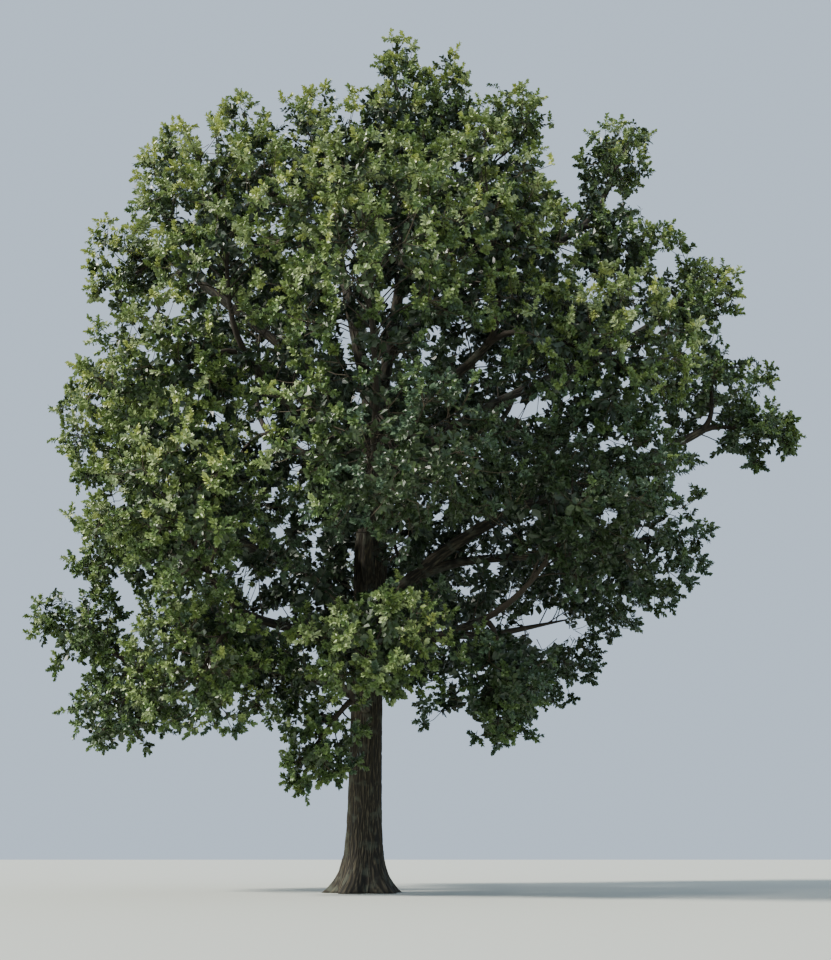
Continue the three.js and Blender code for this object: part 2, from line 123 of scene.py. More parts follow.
# Branches leave the stem, in metres, counts and shares of the stem, the branch or the mass's half size
BRANCHES_PER_METRE = 7.5
FEWEST_BRANCHES = 10
LOWEST_BRANCH = 0.3
HIGHEST_BRANCH = 0.96
BRANCH_SPREAD = 1.85
LONG_BRANCHES_IN_FIVE = 3
LONG_BRANCH_END = 0.77
SHORT_BRANCH_END = 0.42
BRANCH_VARIATION = 0.25
BRANCH_ROOM_SHARE = 0.93
BRANCH_LIFT_PLACE = 0.4
BRANCH_LIFT = 0.22
BRANCH_DROOP_PLACE = 0.6
STEM_STEP = 0.02
LOW_BRANCH_RADIUS = 0.034
HIGH_BRANCH_RADIUS = 0.02
BRANCH_TIP_TAPER = 0.4
POINTS_ON_BRANCH = 6
PLACES_SEEN_IN_GAPS = (0.35, 0.6)

# Puffs: the close tufts of shoots that the crown is made of, several to a branch. Pairs of values are
# the least and the most of a random draw.
PUFFS_PER_AREA_LOW = 13.4
PUFFS_PER_AREA_HIGH = 10.6
FULL_BELOW = 17.0
THINNER_ABOVE = 25.0
PUFF_SPREAD = 0.3
PUFF_SCATTER = 0.25
PUFF_DISTANCES = (0.55, 1.15)
SKIN_CLEARANCES = (0.75, 1.1)
TWIG_FOOT = 0.75
TWIG_FOOT_PER_METRE = 0.3
FIRST_TWIG_FOOT = 0.3
TWIG_SAG = 0.06
WOOD_CLEARANCE = 0.3

# Shoots of a puff, in metres and shares of the shoot's length
SHOOTS_IN_PUFF = 4
SHOOT_LENGTH = 0.38
SHOOT_VARIATION = (0.8, 1.25)
SHORTEST_SHOOT_SHARE = 0.5
SHOOT_LEAN = 0.75
LEAN_OUTWARDS = 0.8
LEAN_UP = 0.6
SHOOT_SCATTER = 0.12
HUB_SET_BACK = 0.25
LEAVES_ON_SHOOT = 20
LEAF_LENGTH = 0.16

# Inner foliage along the branches and limbs, in the crown's own shade: fewer leaves, and larger
INNER_SHOOTS = 5
INNER_SHOOT_LENGTH = 0.7
INNER_SHOOT_PLACES = (0.5, 1.0)
INNER_REACH = 0.8
SHORTEST_INNER_SHOOT = 0.2
LEAVES_ON_INNER_SHOOT = 13
INNER_LEAF_LENGTH = 0.32
OUTLINE_INNER_LEAF_LENGTH = 0.23
OUTLINE_BEGINS = 0.68
OUTLINE_FULL = 0.9
OUTLINE_SPLIT = 0.5

# Side twigs straight from the trunk and limbs, in metres and shares of the limb or the twig
FIRST_SIDE_TWIG = 0.2
FIRST_ON_TRUNK = 0.5
LAST_SIDE_TWIG = 0.98
SIDE_TWIG_PITCH = 0.4
TRUNK_TWIG_PITCH = 0.25
SIDE_TWIG_LENGTH = 2.4
SIDE_TWIG_VARIATION = (0.6, 1.25)
SIDE_TWIG_FORWARD = 0.45
SIDE_TWIG_UP = 0.25
SIDE_TWIG_BEND = 0.15
STEEPEST_SIDE_TWIG_DROP = 0.8
SIDE_TWIG_RADII = (0.024, 0.009)
SHOOTS_ON_SIDE_TWIG = 7
SIDE_SHOOT_PLACES = (0.6, 1.0)
SIDE_SHOOT_FORWARD = 0.5

# Leaves on their shoot: degrees between leaf and shoot at its foot and its tip, and shares of each pull
FIRST_LEAF = 0.6
LEAVES_TO_TIP_POWER = 0.75
LEAF_ANGLE_AT_FOOT = 74
LEAF_ANGLE_AT_TIP = 28
LEAF_TURN_SCATTER = 0.25
LEAF_ANGLE_SCATTER = 0.15
MOST_LEAF_DROOP = 0.4
FACING_OFF_HUB = 0.6
FACING_OFF_MASS = 0.25
FACING_OFF_CROWN = 0.25
FACING_UP = 0.35
FACING_SCATTER = 0.36
LEAF_SIZE_AT_FOOT = 1.08
LEAF_SIZE_AT_TIP = 0.8
LEAF_VARIATION = (0.8, 1.2)

GOLDEN_ANGLE = math.pi * (3 - math.sqrt(5))
UP = np.array((0.0, 0.0, 1.0))
BACK = np.array((0.0, 1.0, 0.0))
CROWN_MIDDLE = np.array((0.8, 0.0, 16.0))
CROWN_HALF = np.array((12.5, 12.5, 15.0))

# Below this a direction counts as upright, and this direction is one that hardly any shoot takes
NEARLY_UPRIGHT = 0.05
ASIDE_OF_SHOOTS = np.array((0.31, 0.95, 0.05))


def mass(name, right, back, height, half_width, half_height):
    """One mass of foliage: where its middle is, half its width and half its height.

    Near the crown's middle plane it is deeper than it is wide, so that the crown closes from front to back.
    """
    depth_share = MIDDLE_PLANE_DEPTH_SHARE if abs(back) < MIDDLE_PLANE_DISTANCE else 1
    return {
        "node": f"foliage_{name}",
        "middle": np.array((right, back, height)),
        "half": np.array((half_width, half_width * depth_share, half_height)),
        "mean_half": (2 * half_width + half_height) / 3,
    }


def limb(node, parent, height, radius, at_tip, at_side=()):
    """One limb: what it grows from, the height it starts at, half its thickness there, and its masses."""
    return {
        "node": node,
        "parent": parent,
        "height": height,
        "radius": radius,
        "at_tip": at_tip,
        "at_side": list(at_side),
    }


LIMBS = [
    limb("leader_left", "trunk", 15.3, 0.28, [
        mass("crest_left", -2.2, 0.5, 26.9, 2.3, 2.9),
    ], [
        mass("shoulder_left", -5.15, 0.6, 26.7, 1.95, 3.0),
        mass("front_crest", 0.6, -4.3, 23.5, 3.0, 3.1),
    ]),
    limb("leader_right", "trunk", 15.3, 0.26, [
        mass("top_left", 1.3, 0.2, 28.7, 1.65, 3.9),
        mass("top_right", 2.75, 0.7, 28.4, 1.4, 4.1),
    ], [
        mass("shoulder_right", 5.25, 0.2, 27.0, 1.9, 3.8),
        mass("back_crest", 1.0, 4.4, 26.1, 3.4, 3.4),
    ]),
    limb("bough_upper_left", "trunk", 13.8, 0.2, [
        mass("left_upper", -7.3, -0.5, 24.8, 2.0, 2.8),
        mass("left_high", -8.75, 0.3, 21.8, 2.1, 2.5),
    ]),
    limb("bough_upper_right", "leader_right", 18.2, 0.17, [
        mass("right_upper", 9.3, 0.4, 26.3, 2.0, 2.4),
        mass("right_high", 8.9, -0.8, 22.6, 2.3, 1.9),
    ]),
    limb("bough_right_high", "trunk", 12.5, 0.2, [
        mass("right_lobe", 11.75, 0.4, 20.8, 2.1, 2.6),
    ]),
    limb("bough_front_left_high", "trunk", 12.4, 0.19, [
        mass("front_left_high", -4.4, -5.8, 20.6, 3.5, 3.6),
        mass("front_left", -5.7, -6.2, 15.0, 3.3, 3.0),
    ]),
    limb("bough_front_right_high", "trunk", 14.0, 0.19, [
        mass("front_right_high", 3.9, -6.4, 20.2, 3.4, 3.6),
        mass("front_right", 7.0, -6.2, 15.9, 3.6, 3.2),
    ]),
    limb("bough_back_right_high", "trunk", 13.2, 0.19, [
        mass("back_right_high", 6.4, 5.4, 22.4, 3.8, 3.6),
        mass("back_right", 6.6, 8.4, 15.9, 3.6, 3.2),
    ]),
    limb("bough_back_left_high", "trunk", 12.3, 0.19, [
        mass("back_left_high", -4.8, 5.8, 22.2, 3.7, 3.5),
        mass("back_left", -6.3, 5.3, 14.7, 3.7, 3.3),
    ]),
    limb("bough_right_main", "trunk", 8.5, 0.25, [
        mass("right_spray", 13.95, 0.2, 15.45, 1.55, 1.25),
        mass("right_outer", 12.2, 0.0, 17.2, 2.3, 2.05),
    ]),
    limb("bough_right_low", "bough_right_main", 10.0, 0.16, [
        mass("right_low", 9.2, 0.3, 11.6, 3.05, 3.1),
    ]),
    limb("bough_left_main", "trunk", 8.3, 0.23, [
        mass("left_middle", -8.85, -0.4, 15.5, 2.5, 2.8),
        mass("left_outer", -8.2, -0.4, 11.7, 2.4, 2.7),
    ]),
    limb("bough_front", "trunk", 9.6, 0.2, [
        mass("front_high", 0.2, -9.2, 17.6, 3.8, 3.6),
        mass("front_middle", 1.0, -9.2, 11.7, 3.7, 2.9),
    ]),
    limb("bough_back", "trunk", 9.9, 0.2, [
        mass("back_high", 0.2, 9.2, 18.2, 3.8, 3.5),
        mass("back_middle", 1.2, 9.4, 12.0, 3.7, 3.1),
    ]),
    limb("bough_front_left_low", "trunk", 7.1, 0.19, [
        mass("front_left_middle", -5.2, -6.6, 10.6, 3.2, 2.8),
        mass("front_left_low", -4.6, -4.0, 6.7, 2.9, 2.4),
    ]),
    limb("bough_front_right_low", "trunk", 6.8, 0.18, [
        mass("front_right_middle", 6.8, -6.0, 11.3, 3.5, 2.9),
        mass("front_right_low", 4.1, -3.0, 6.3, 2.8, 2.2),
    ]),
    limb("bough_back_right_low", "trunk", 7.4, 0.18, [
        mass("back_right_low", 6.8, 5.2, 9.6, 3.8, 3.4),
    ]),
    limb("bough_back_left_low", "trunk", 7.8, 0.18, [
        mass("back_left_low", -5.6, 5.6, 9.4, 3.8, 3.4),
    ]),
    limb("bough_left_low", "trunk", 6.0, 0.17, [
        mass("left_tip", -9.6, -0.3, 8.4, 1.8, 1.9),
        mass("left_low", -8.0, 0.6, 6.3, 2.5, 2.2),
    ]),
    limb("bough_front_low", "trunk", 5.6, 0.15, [
        mass("front_low", 0.5, -6.3, 6.9, 2.4, 1.9),
        mass("front_hanging", -1.2, -3.6, 4.5, 1.5, 2.1),
    ]),
]
MASSES = [one for each in LIMBS for one in each["at_tip"] + each["at_side"]]

# Where the photograph shows sky through the crown: across, down, half across, half down, in its pixels
SKY_GAPS = [
    (550, 628, 40, 20), (578, 642, 10, 8), (493, 624, 9, 8), (561, 140, 9, 38), (424, 48, 5, 14),
    (279, 118, 4, 18), (203, 124, 4, 24), (668, 212, 11, 9), (664, 262, 10, 9), (733, 338, 12, 9),
    (726, 458, 13, 7), (70, 596, 10, 14), (242, 574, 10, 6), (292, 580, 8, 7), (530, 520, 12, 4),
    (612, 520, 9, 11), (496, 560, 5, 14), (465, 590, 5, 12), (209, 153, 8, 11), (181, 212, 16, 10),
    (408, 94, 6, 11), (453, 171, 11, 5), (499, 160, 11, 6), (616, 203, 11, 7), (736, 352, 12, 8),
    (725, 390, 11, 6), (753, 440, 13, 6), (655, 526, 13, 8), (116, 497, 7, 14), (69, 650, 5, 12),
    (172, 310, 15, 8), (160, 360, 13, 7), (270, 343, 8, 6), (430, 341, 7, 5), (535, 408, 19, 8),
    (546, 377, 13, 4), (513, 410, 10, 7), (660, 427, 9, 4), (602, 396, 9, 8), (640, 200, 14, 9),
    (270, 618, 11, 9), (182, 658, 11, 9), (455, 720, 14, 10), (480, 727, 10, 8), (672, 512, 10, 8),
    (685, 524, 7, 6), (641, 536, 8, 7), (193, 286, 9, 7), (425, 497, 7, 7), (640, 325, 8, 7),
    (660, 345, 6, 8), (56, 392, 11, 8), (53, 430, 8, 12), (62, 583, 12, 8), (82, 584, 9, 6),
    (62, 698, 10, 7), (505, 81, 12, 5), (645, 118, 10, 10),
]

# Where it shows dark limbs between the leaves, in the same way: the foliage in front is thinner there
LIMB_VIEWS = [
    (346, 320, 8, 70), (347, 240, 7, 40), (391, 330, 9, 90), (396, 230, 7, 50), (371, 430, 10, 50),
    (200, 283, 18, 14), (232, 312, 18, 12), (268, 338, 16, 12), (420, 568, 22, 15),
    (455, 545, 22, 13), (500, 527, 24, 12), (545, 505, 20, 10), (450, 420, 18, 12),
    (490, 395, 20, 10), (540, 372, 20, 9), (300, 470, 7, 40), (352, 560, 12, 40),
    (372, 560, 10, 30),
]
LIMB_VIEW_DEPTH = 0.35
LIMB_VIEW_SHARE = 0.85

# Where it shows foliage in shade, with a shift below 0 at the end, or in full sun, with one above 0
LIGHT_PLACES = [
    (440, 440, 95, 90, -1.3), (430, 110, 90, 60, -0.25), (590, 470, 90, 70, -0.45),
    (630, 560, 90, 70, -0.6), (560, 680, 90, 50, -0.4), (340, 640, 110, 60, 0.3),
    (390, 530, 60, 50, -0.6), (720, 290, 35, 30, 0.5), (615, 160, 45, 45, 0.4),
    (590, 280, 50, 50, 0.3), (730, 390, 45, 35, 0.25), (200, 430, 90, 70, 0.45),
    (425, 625, 35, 35, 0.45), (300, 290, 70, 60, 0.15),
]


def unit(vectors):
    return vectors / np.linalg.norm(vectors, axis=-1, keepdims=True)


def across_to(direction):
    """A direction square to this one, as level as can be."""
    square = np.cross(UP, direction)
    return unit(square) if np.linalg.norm(square) > NEARLY_UPRIGHT else BACK


def mix(start, end, share):
    return start + (end - start) * share


def smooth_step(values, low, high):
    share = np.clip((values - low) / (high - low), 0, 1)
    return share * share * (3 - 2 * share)


def bezier(corners, shares):
    """Points on the cubic curve of four corners. The corners can be one point each or rows of points."""
    s = np.asarray(shares)[..., None]
    a, b, c, d = corners
    return a * (1 - s) ** 3 + 3 * b * s * (1 - s) ** 2 + 3 * c * s * s * (1 - s) + d * s**3


class TrunkPath:
    """The trunk's axis: upright at the foot, a little to the right by the fork."""

    sideways = BACK
    length = FORK_HEIGHT

    def points(self, shares):
        s = np.asarray(shares, float)
        return np.stack([LEAN * s * s, 0 * s, FORK_HEIGHT * s], axis=-1)

    def tangents(self, shares):
        return np.broadcast_to(UP, (len(shares), 3))


class LimbPath:
    """A limb's axis: it leaves its parent rising, eases over and heads into its foliage, swaying a little."""

    def __init__(self, start, end, start_direction, end_direction, phase):
        self.length = float(np.linalg.norm(end - start))
        self.corners = (
            start,
            start + start_direction * BEND_IN * self.length,
            end - end_direction * BEND_OUT * self.length,
            end,
        )
        self.phase = phase
        self.sideways = across_to(end - start)

    def points(self, shares):
        s = np.asarray(shares, float)
        swing = np.sin(2 * math.pi * s + self.phase) * np.sin(math.pi * s) * SWAY * self.length
        return bezier(self.corners, s) + swing[..., None] * self.sideways

    def tangents(self, shares):
        s = np.asarray(shares, float)
        step = 0.01
        return unit(self.points(np.minimum(s + step, 1)) - self.points(np.maximum(s - step, 0)))


def trunk_radius(shares, angles):
    height = shares * FORK_HEIGHT
    taper = mix(RADIUS_LOW, RADIUS_HIGH, shares)
    spread = FOOT_SPREAD * np.exp(-height / FOOT_HEIGHT)
    wave = np.cos(BUTTRESSES * angles + BUTTRESS_TURN)
    ridge = 1 + BUTTRESS_DEPTH * wave * np.exp(-height / BUTTRESS_HEIGHT)
    swelling = SWELLING * np.exp(-(((height - SWELLING_HEIGHT) / SWELLING_REACH) ** 2))
    closing = smooth_step(height, FORK_HEIGHT - SHOULDER, FORK_HEIGHT)
    return mix((taper + spread + swelling) * ridge, SHOULDER_RADIUS, closing)


def limb_radius(one, shares):
    taper = mix(one["radius"], LIMB_TIP_RADIUS, shares**TAPER_POWER)
    from_start = shares * one["path"].length
    return taper * (1 + COLLAR * np.exp(-from_start / COLLAR_LENGTH))


def share_at_height(path, height):
    """The share of a rising path at which it reaches a height."""
    low, high = 0.0, 1.0
    for _ in range(30):
        middle = (low + high) / 2
        if path.points([middle])[0, 2] < height:
            low = middle
        else:
            high = middle
    return low


def lay_limbs(trunk):
    """Gives each limb its path: it aims at the masses at its tip, and ends where it enters them."""
    paths = {"trunk": trunk}
    for index, one in enumerate(LIMBS):
        middles = np.array([tip["middle"] for tip in one["at_tip"]])
        target = middles.mean(axis=0)
        parent = paths[one["parent"]]
        start = parent.points([share_at_height(parent, one["height"])])[0]
        heading = unit(target - start)
        half_width = np.mean([tip["half"][0] for tip in one["at_tip"]])
        apart = np.linalg.norm(middles[0] - middles[-1]) / 2
        end = target - heading * max(ENTRY * half_width, ENTRY_OF_PAIR * apart)
        level = np.array((heading[0], heading[1], 0.0))
        rise = math.atan2(heading[2], np.linalg.norm(level)) + math.radians(START_RISE)
        rise = min(rise, math.radians(STEEPEST_START))
        leaving = unit(level) * math.cos(rise) + UP * math.sin(rise)
        one["path"] = LimbPath(start, end, leaving, heading, index * GOLDEN_ANGLE)
        paths[one["node"]] = one["path"]


def lay_stem(one, foot, leaving, foot_radius):
    """A mass's stem grows on from its limb, bends towards the middle of the mass and runs past it."""
    outward = unit(one["middle"] - foot)
    top = one["middle"] + outward * STEM_TOP * one["mean_half"]
    length = np.linalg.norm(top - foot)
    one["outward"] = outward
    one["stem"] = (
        foot - leaving * STEM_SET_BACK,
        foot + leaving * STEM_BEND_IN * length,
        top - outward * STEM_BEND_OUT * length,
        top,
    )
    one["stem_radius"] = foot_radius


def lay_stems():
    for one in LIMBS:
        tip = one["path"].points([1.0])[0]
        tip_direction = one["path"].tangents([1.0])[0]
        foot_radius = PAIRED_STEM_RADIUS if len(one["at_tip"]) > 1 else SINGLE_STEM_RADIUS
        for tip_mass in one["at_tip"]:
            lay_stem(tip_mass, tip, tip_direction, foot_radius)
        for side_mass in one["at_side"]:
            axis = one["path"].points([0.5])[0]
            away = np.linalg.norm((side_mass["middle"] - axis)[:2])
            share = min(share_at_height(one["path"], side_mass["middle"][2] - away), FURTHEST_SIDE_STEM)
            foot = one["path"].points([share])[0]
            leaving = unit(one["path"].tangents([share])[0] + unit(side_mass["middle"] - foot))
            lay_stem(side_mass, foot, leaving, SIDE_STEM_RADIUS)


def wall_off():
    """A mass keeps to an ellipsoid, walled off from each neighbour where the two are equally near."""
    for one in MASSES:
        others = [other for other in MASSES if other is not one]
        towards = np.array([other["middle"] - one["middle"] for other in others])
        apart = np.linalg.norm(towards, axis=1)
        other_half = np.array([other["mean_half"] for other in others])
        one["wall_normals"] = towards / apart[:, None]
        one["wall_distances"] = (apart**2 + one["mean_half"] ** 2 - other_half**2) / (2 * apart)


def share_inside(one, start, end, reach):
    """How far along the way from start to each end a mass's space is left, at most the whole way."""
    step = (end - start) / one["half"]
    base = (start - one["middle"]) / one["half"]
    a = np.sum(step * step, axis=-1)
    b = np.sum(step * base, axis=-1)
    c = np.sum(base * base, axis=-1) - reach**2
    to_skin = (np.sqrt(np.maximum(0, b * b - a * c)) - b) / a
    advance = (end - start) @ one["wall_normals"].T
    room = one["wall_distances"] + WALL_OVERLAP - (start - one["middle"]) @ one["wall_normals"].T
    to_walls = np.where(advance > 1e-9, room / np.maximum(advance, 1e-9), np.inf).min(axis=-1)
    return np.clip(np.minimum(to_skin, to_walls), 0, 1)


def photo_place(points):
    """Where points show in the photograph, in its pixels."""
    away = points - EYE
    depth = away[..., 1] * math.cos(EYE_PITCH) + away[..., 2] * math.sin(EYE_PITCH)
    rise = away[..., 2] * math.cos(EYE_PITCH) - away[..., 1] * math.sin(EYE_PITCH)
    focal = LENS_MM / SENSOR_MM * PHOTO_HEIGHT
    return PHOTO_WIDTH / 2 + focal * away[..., 0] / depth, PHOTO_HEIGHT / 2 - focal * rise / depth


def off_middle(place, ellipse):
    """How far places in the photograph lie off an ellipse's middle, squared: 1 on its outline."""
    across, down = place
    middle_across, middle_down, half_across, half_down = ellipse
    return ((across - middle_across) / half_across) ** 2 + ((down - middle_down) / half_down) ** 2


def in_ellipses(points, ellipses):
    """Whether points show inside any of these ellipses of the photograph."""
    place = photo_place(points)
    found = np.zeros(points.shape[:-1], bool)
    for ellipse in ellipses:
        found |= off_middle(place, ellipse) < 1
    return found


def in_sky_gap(points):
    return in_ellipses(points, SKY_GAPS)


def crosses_sky_gap(start, end):
    """Whether branches show in a gap, near their middle or at their end."""
    found = in_sky_gap(end)
    for share in PLACES_SEEN_IN_GAPS:
        found = found | in_sky_gap(mix(start, end, share))
    return found


def hides_a_limb(points, draw):
    """Most of the foliage that stands between the photograph's viewer and a limb that shows there."""
    found = in_ellipses(points, LIMB_VIEWS)
    in_front = points[..., 1] < -LIMB_VIEW_DEPTH
    return found & in_front & (draw.random(found.shape) < LIMB_VIEW_SHARE)


def shift_of_light(points):
    """How much lighter or darker the photograph shows the foliage at points, fading out round each place."""
    place = photo_place(points)
    return sum(shift * np.exp(-off_middle(place, ellipse)) for *ellipse, shift in LIGHT_PLACES)


def wood_skin():
    """Points along the trunk and limbs, with how thick the wood is there."""
    wood = [(TRUNK, lambda s: trunk_radius(s, 0 * s))]
    wood += [(one["path"], lambda s, one=one: limb_radius(one, s)) for one in LIMBS]
    points, radii = [], []
    for path, radius_at in wood:
        shares = np.linspace(0, 1, int(path.length / SKIN_PITCH) + 1)
        points.append(path.points(shares))
        radii.append(radius_at(shares))
    return np.concatenate(points), np.concatenate(radii)


def square_frame(tangents, sideways):
    across = unit(np.cross(tangents, sideways))
    return across, np.cross(tangents, across)


def reach_towards(one, points):
    """How far a mass may reach in the direction of each point, as a share of its half size."""
    away = unit((one["middle"] - CROWN_MIDDLE) / CROWN_HALF)
    outwardness = unit((points - one["middle"]) / one["half"]) @ away
    at_outline = abs(one["middle"][1]) < MIDDLE_PLANE_DISTANCE
    inwards = REACH_INWARDS_AT_OUTLINE if at_outline else REACH_INWARDS
    return mix(inwards, REACH_OUTWARDS, smooth_step(outwardness, INWARDS_BELOW, OUTWARDS_ABOVE))


def spread_evenly(count, turn):
    """Directions spread evenly over a sphere by the golden angle."""
    number = np.arange(count)
    rise = 1 - 2 * (number + 0.5) / count
    ring = np.sqrt(1 - rise**2)
    angle = number * GOLDEN_ANGLE + turn
    return np.stack([ring * np.cos(angle), ring * np.sin(angle), rise], axis=1)


def clear_of_wood(points, wood):
    """Whether points are clear of the trunk's and the limbs' wood, given by its axis points and radii."""
    near = np.linalg.norm(points[:, None] - wood[0][None], axis=2) - wood[1][None]
    return near.min(axis=1) > WOOD_CLEARANCE


def has_room(points, draw, wood):
    """Whether foliage at points leaves the gaps, the limbs that show and the wood free."""
    return ~in_sky_gap(points) & ~hides_a_limb(points, draw) & clear_of_wood(points, wood)


def curve_of(start, lift, end):
    """The four corners of a branch that rises to its lift and then bends over to its end."""
    return start, lift, mix(lift, end, BRANCH_DROOP_PLACE), end


def along_branches(branch):
    """The points that a row of branches is drawn through."""
    return bezier([corner[:, None] for corner in branch], np.linspace(0, 1, POINTS_ON_BRANCH)[None, :])


def grow_mass(one, seed, wood):
    """Branches leave the stem all round, turned by the golden angle, and each carries its puffs."""
    draw = np.random.default_rng(seed)
    mean_half = one["mean_half"]
    count = max(FEWEST_BRANCHES, round(BRANCHES_PER_METRE * mean_half))
    number = np.arange(count)
    cosine = 1 - number / (count - 1) * BRANCH_SPREAD
    sine = np.sqrt(1 - cosine**2)
    turn = number * GOLDEN_ANGLE + draw.uniform(0, 2 * math.pi)
    across, beside = square_frame(one["outward"], across_to(one["outward"]))
    heading = (
        cosine[:, None] * one["outward"]
        + (sine * np.cos(turn))[:, None] * across
        + (sine * np.sin(turn))[:, None] * beside
    )
    stem_share = mix(LOWEST_BRANCH, HIGHEST_BRANCH, (1 + cosine) / 2)
    start = bezier(one["stem"], stem_share)
    distance = np.where(number % 5 < LONG_BRANCHES_IN_FIVE, LONG_BRANCH_END, SHORT_BRANCH_END)
    distance = distance * (1 + BRANCH_VARIATION * (draw.random(count) - 0.5))
    reach = reach_towards(one, one["middle"] + heading)
    end = one["middle"] + heading * one["half"] * (distance * reach)[:, None]
    end = mix(start, end, share_inside(one, start, end, reach)[:, None] * BRANCH_ROOM_SHARE)
    length = np.linalg.norm(end - start, axis=1)
    ahead_on_stem = bezier(one["stem"], stem_share + STEM_STEP)
    along_stem = unit(ahead_on_stem - bezier(one["stem"], stem_share - STEM_STEP))
    lift = start + (end - start) * BRANCH_LIFT_PLACE + along_stem * (BRANCH_LIFT * length)[:, None]
    branch = curve_of(start, lift, end)

    # Puffs round each branch's end, no nearer to the mass's skin than a shoot is long
    thinning = smooth_step(one["middle"][2], FULL_BELOW, THINNER_ABOVE)
    per_area = mix(PUFFS_PER_AREA_LOW, PUFFS_PER_AREA_HIGH, thinning)
    per_branch = round(per_area * mean_half**2 / count)
    branch_of = np.repeat(number, per_branch)
    out = np.concatenate([spread_evenly(per_branch, draw.uniform(0, 2 * math.pi)) for _ in number])
    out = unit(out + draw.normal(0, PUFF_SCATTER, out.shape))
    centre = end[branch_of] + out * one["half"] * PUFF_SPREAD * draw.uniform(*PUFF_DISTANCES, (len(out), 1))
    reach = reach_towards(one, centre) - SHOOT_LENGTH * draw.uniform(*SKIN_CLEARANCES, len(out)) / mean_half
    centre = mix(end[branch_of], centre, share_inside(one, end[branch_of], centre, reach)[:, None])
    ahead = np.sum((centre - end[branch_of]) * unit(end - start)[branch_of], axis=1)
    foot_share = np.clip(TWIG_FOOT + TWIG_FOOT_PER_METRE * ahead, FIRST_TWIG_FOOT, 1)
    foot = bezier([corner[branch_of] for corner in branch], foot_share)
    keep = has_room(centre, draw, wood)
    centre, foot = centre[keep], foot[keep]

    # Shoots fan out of each puff, most of them outwards and up
    lean = unit(LEAN_OUTWARDS * unit(centre - one["middle"]) + LEAN_UP * UP)
    turns = draw.uniform(0, 2 * math.pi, len(centre))
    fan = np.stack([spread_evenly(SHOOTS_IN_PUFF, turn) for turn in turns])
    fan = unit(fan + SHOOT_LEAN * lean[:, None] + draw.normal(0, SHOOT_SCATTER, fan.shape))
    tip = centre[:, None] + fan * SHOOT_LENGTH * draw.uniform(*SHOOT_VARIATION, fan.shape[:2])[..., None]
    held = share_inside(one, centre[:, None], tip, reach_towards(one, tip))
    tip = mix(centre[:, None], tip, np.maximum(held, SHORTEST_SHOOT_SHARE)[..., None]).reshape(-1, 3)
    base = np.repeat(centre, SHOOTS_IN_PUFF, axis=0)
    lean = np.repeat(lean, SHOOTS_IN_PUFF, axis=0)
    keep = ~in_sky_gap(tip) & ~hides_a_limb(tip, draw)
    shoots = {
        "base": base[keep],
        "tip": tip[keep],
        "hub": (base - HUB_SET_BACK * lean)[keep],
        "mass_middle": np.broadcast_to(one["middle"], tip.shape)[keep],
        "mass_half": np.full(np.count_nonzero(keep), mean_half),
    }

    # Shaded shoots along the branches
    inner_of = np.repeat(number, INNER_SHOOTS)
    base = bezier([corner[inner_of] for corner in branch], draw.uniform(*INNER_SHOOT_PLACES, len(inner_of)))
    tip = base + unit(draw.normal(0, 1, base.shape)) * INNER_SHOOT_LENGTH
    tip = mix(base, tip, share_inside(one, base, tip, INNER_REACH)[:, None])
    keep = has_room(tip, draw, wood)
    keep &= np.linalg.norm(tip - base, axis=1) > SHORTEST_INNER_SHOOT
    middles = np.broadcast_to(one["middle"], tip.shape)[keep]
    inner = {"base": base[keep], "tip": tip[keep], "hub": middles, "mass_middle": middles}
    kept = ~crosses_sky_gap(start, end)
    thickness = mix(LOW_BRANCH_RADIUS, HIGH_BRANCH_RADIUS, stem_share[kept])
    return {
        "branches": along_branches([corner[kept] for corner in branch]),
        "branch_radii": thickness[:, None] * np.linspace(1, BRANCH_TIP_TAPER, POINTS_ON_BRANCH)[None, :],
        "twigs": np.stack([foot, mix(foot, centre, 0.5) - TWIG_SAG * UP, centre], axis=1),
        "shoots": shoots,
        "inner": inner,
    }


def grow_along(path, first, pitch, seed, wood):
    """Side twigs all along a limb, with shaded shoots on them, so the limb is dressed up to its masses."""
    draw = np.random.default_rng(seed)
    count = int(path.length * (1 - first) / pitch)
    shares = np.linspace(first, LAST_SIDE_TWIG, count)
    start = path.points(shares)
    tangents = path.tangents(shares)
    across, beside = square_frame(tangents, path.sideways)
    turn = np.arange(count) * GOLDEN_ANGLE + draw.uniform(0, 2 * math.pi)
    heading = np.cos(turn)[:, None] * across + np.sin(turn)[:, None] * beside
    heading = unit(heading + SIDE_TWIG_FORWARD * tangents + SIDE_TWIG_UP * UP)
    end = start + heading * (SIDE_TWIG_LENGTH * draw.uniform(*SIDE_TWIG_VARIATION, count))[:, None]
    kept = ~crosses_sky_gap(start, end) & ((end - start)[:, 2] > -STEEPEST_SIDE_TWIG_DROP)
    start, end, heading, tangents = start[kept], end[kept], heading[kept], tangents[kept]
    count = len(start)
    branch = curve_of(start, mix(start, end, BRANCH_LIFT_PLACE) + SIDE_TWIG_BEND * tangents, end)
    branch_of = np.repeat(np.arange(count), SHOOTS_ON_SIDE_TWIG)
    base = bezier([corner[branch_of] for corner in branch], draw.uniform(*SIDE_SHOOT_PLACES, len(branch_of)))
    way = unit(draw.normal(0, 1, base.shape) + SIDE_SHOOT_FORWARD * heading[branch_of])
    tip = base + way * INNER_SHOOT_LENGTH
    keep = has_room(tip, draw, wood)
    inner = {
        "base": base[keep],
        "tip": tip[keep],
        "hub": start[branch_of][keep],
        "mass_middle": np.broadcast_to(CROWN_MIDDLE, tip.shape)[keep],
    }
    return {
        "branches": along_branches(branch),
        "branch_radii": np.broadcast_to(
            np.linspace(*SIDE_TWIG_RADII, POINTS_ON_BRANCH), (count, POINTS_ON_BRANCH)
        ),
        "inner": inner,
    }


def crown_share(points):
    """How far out in the crown points are, from 0 in its middle to about 1 at its outline."""
    return np.linalg.norm((points - CROWN_MIDDLE) / CROWN_HALF, axis=-1)


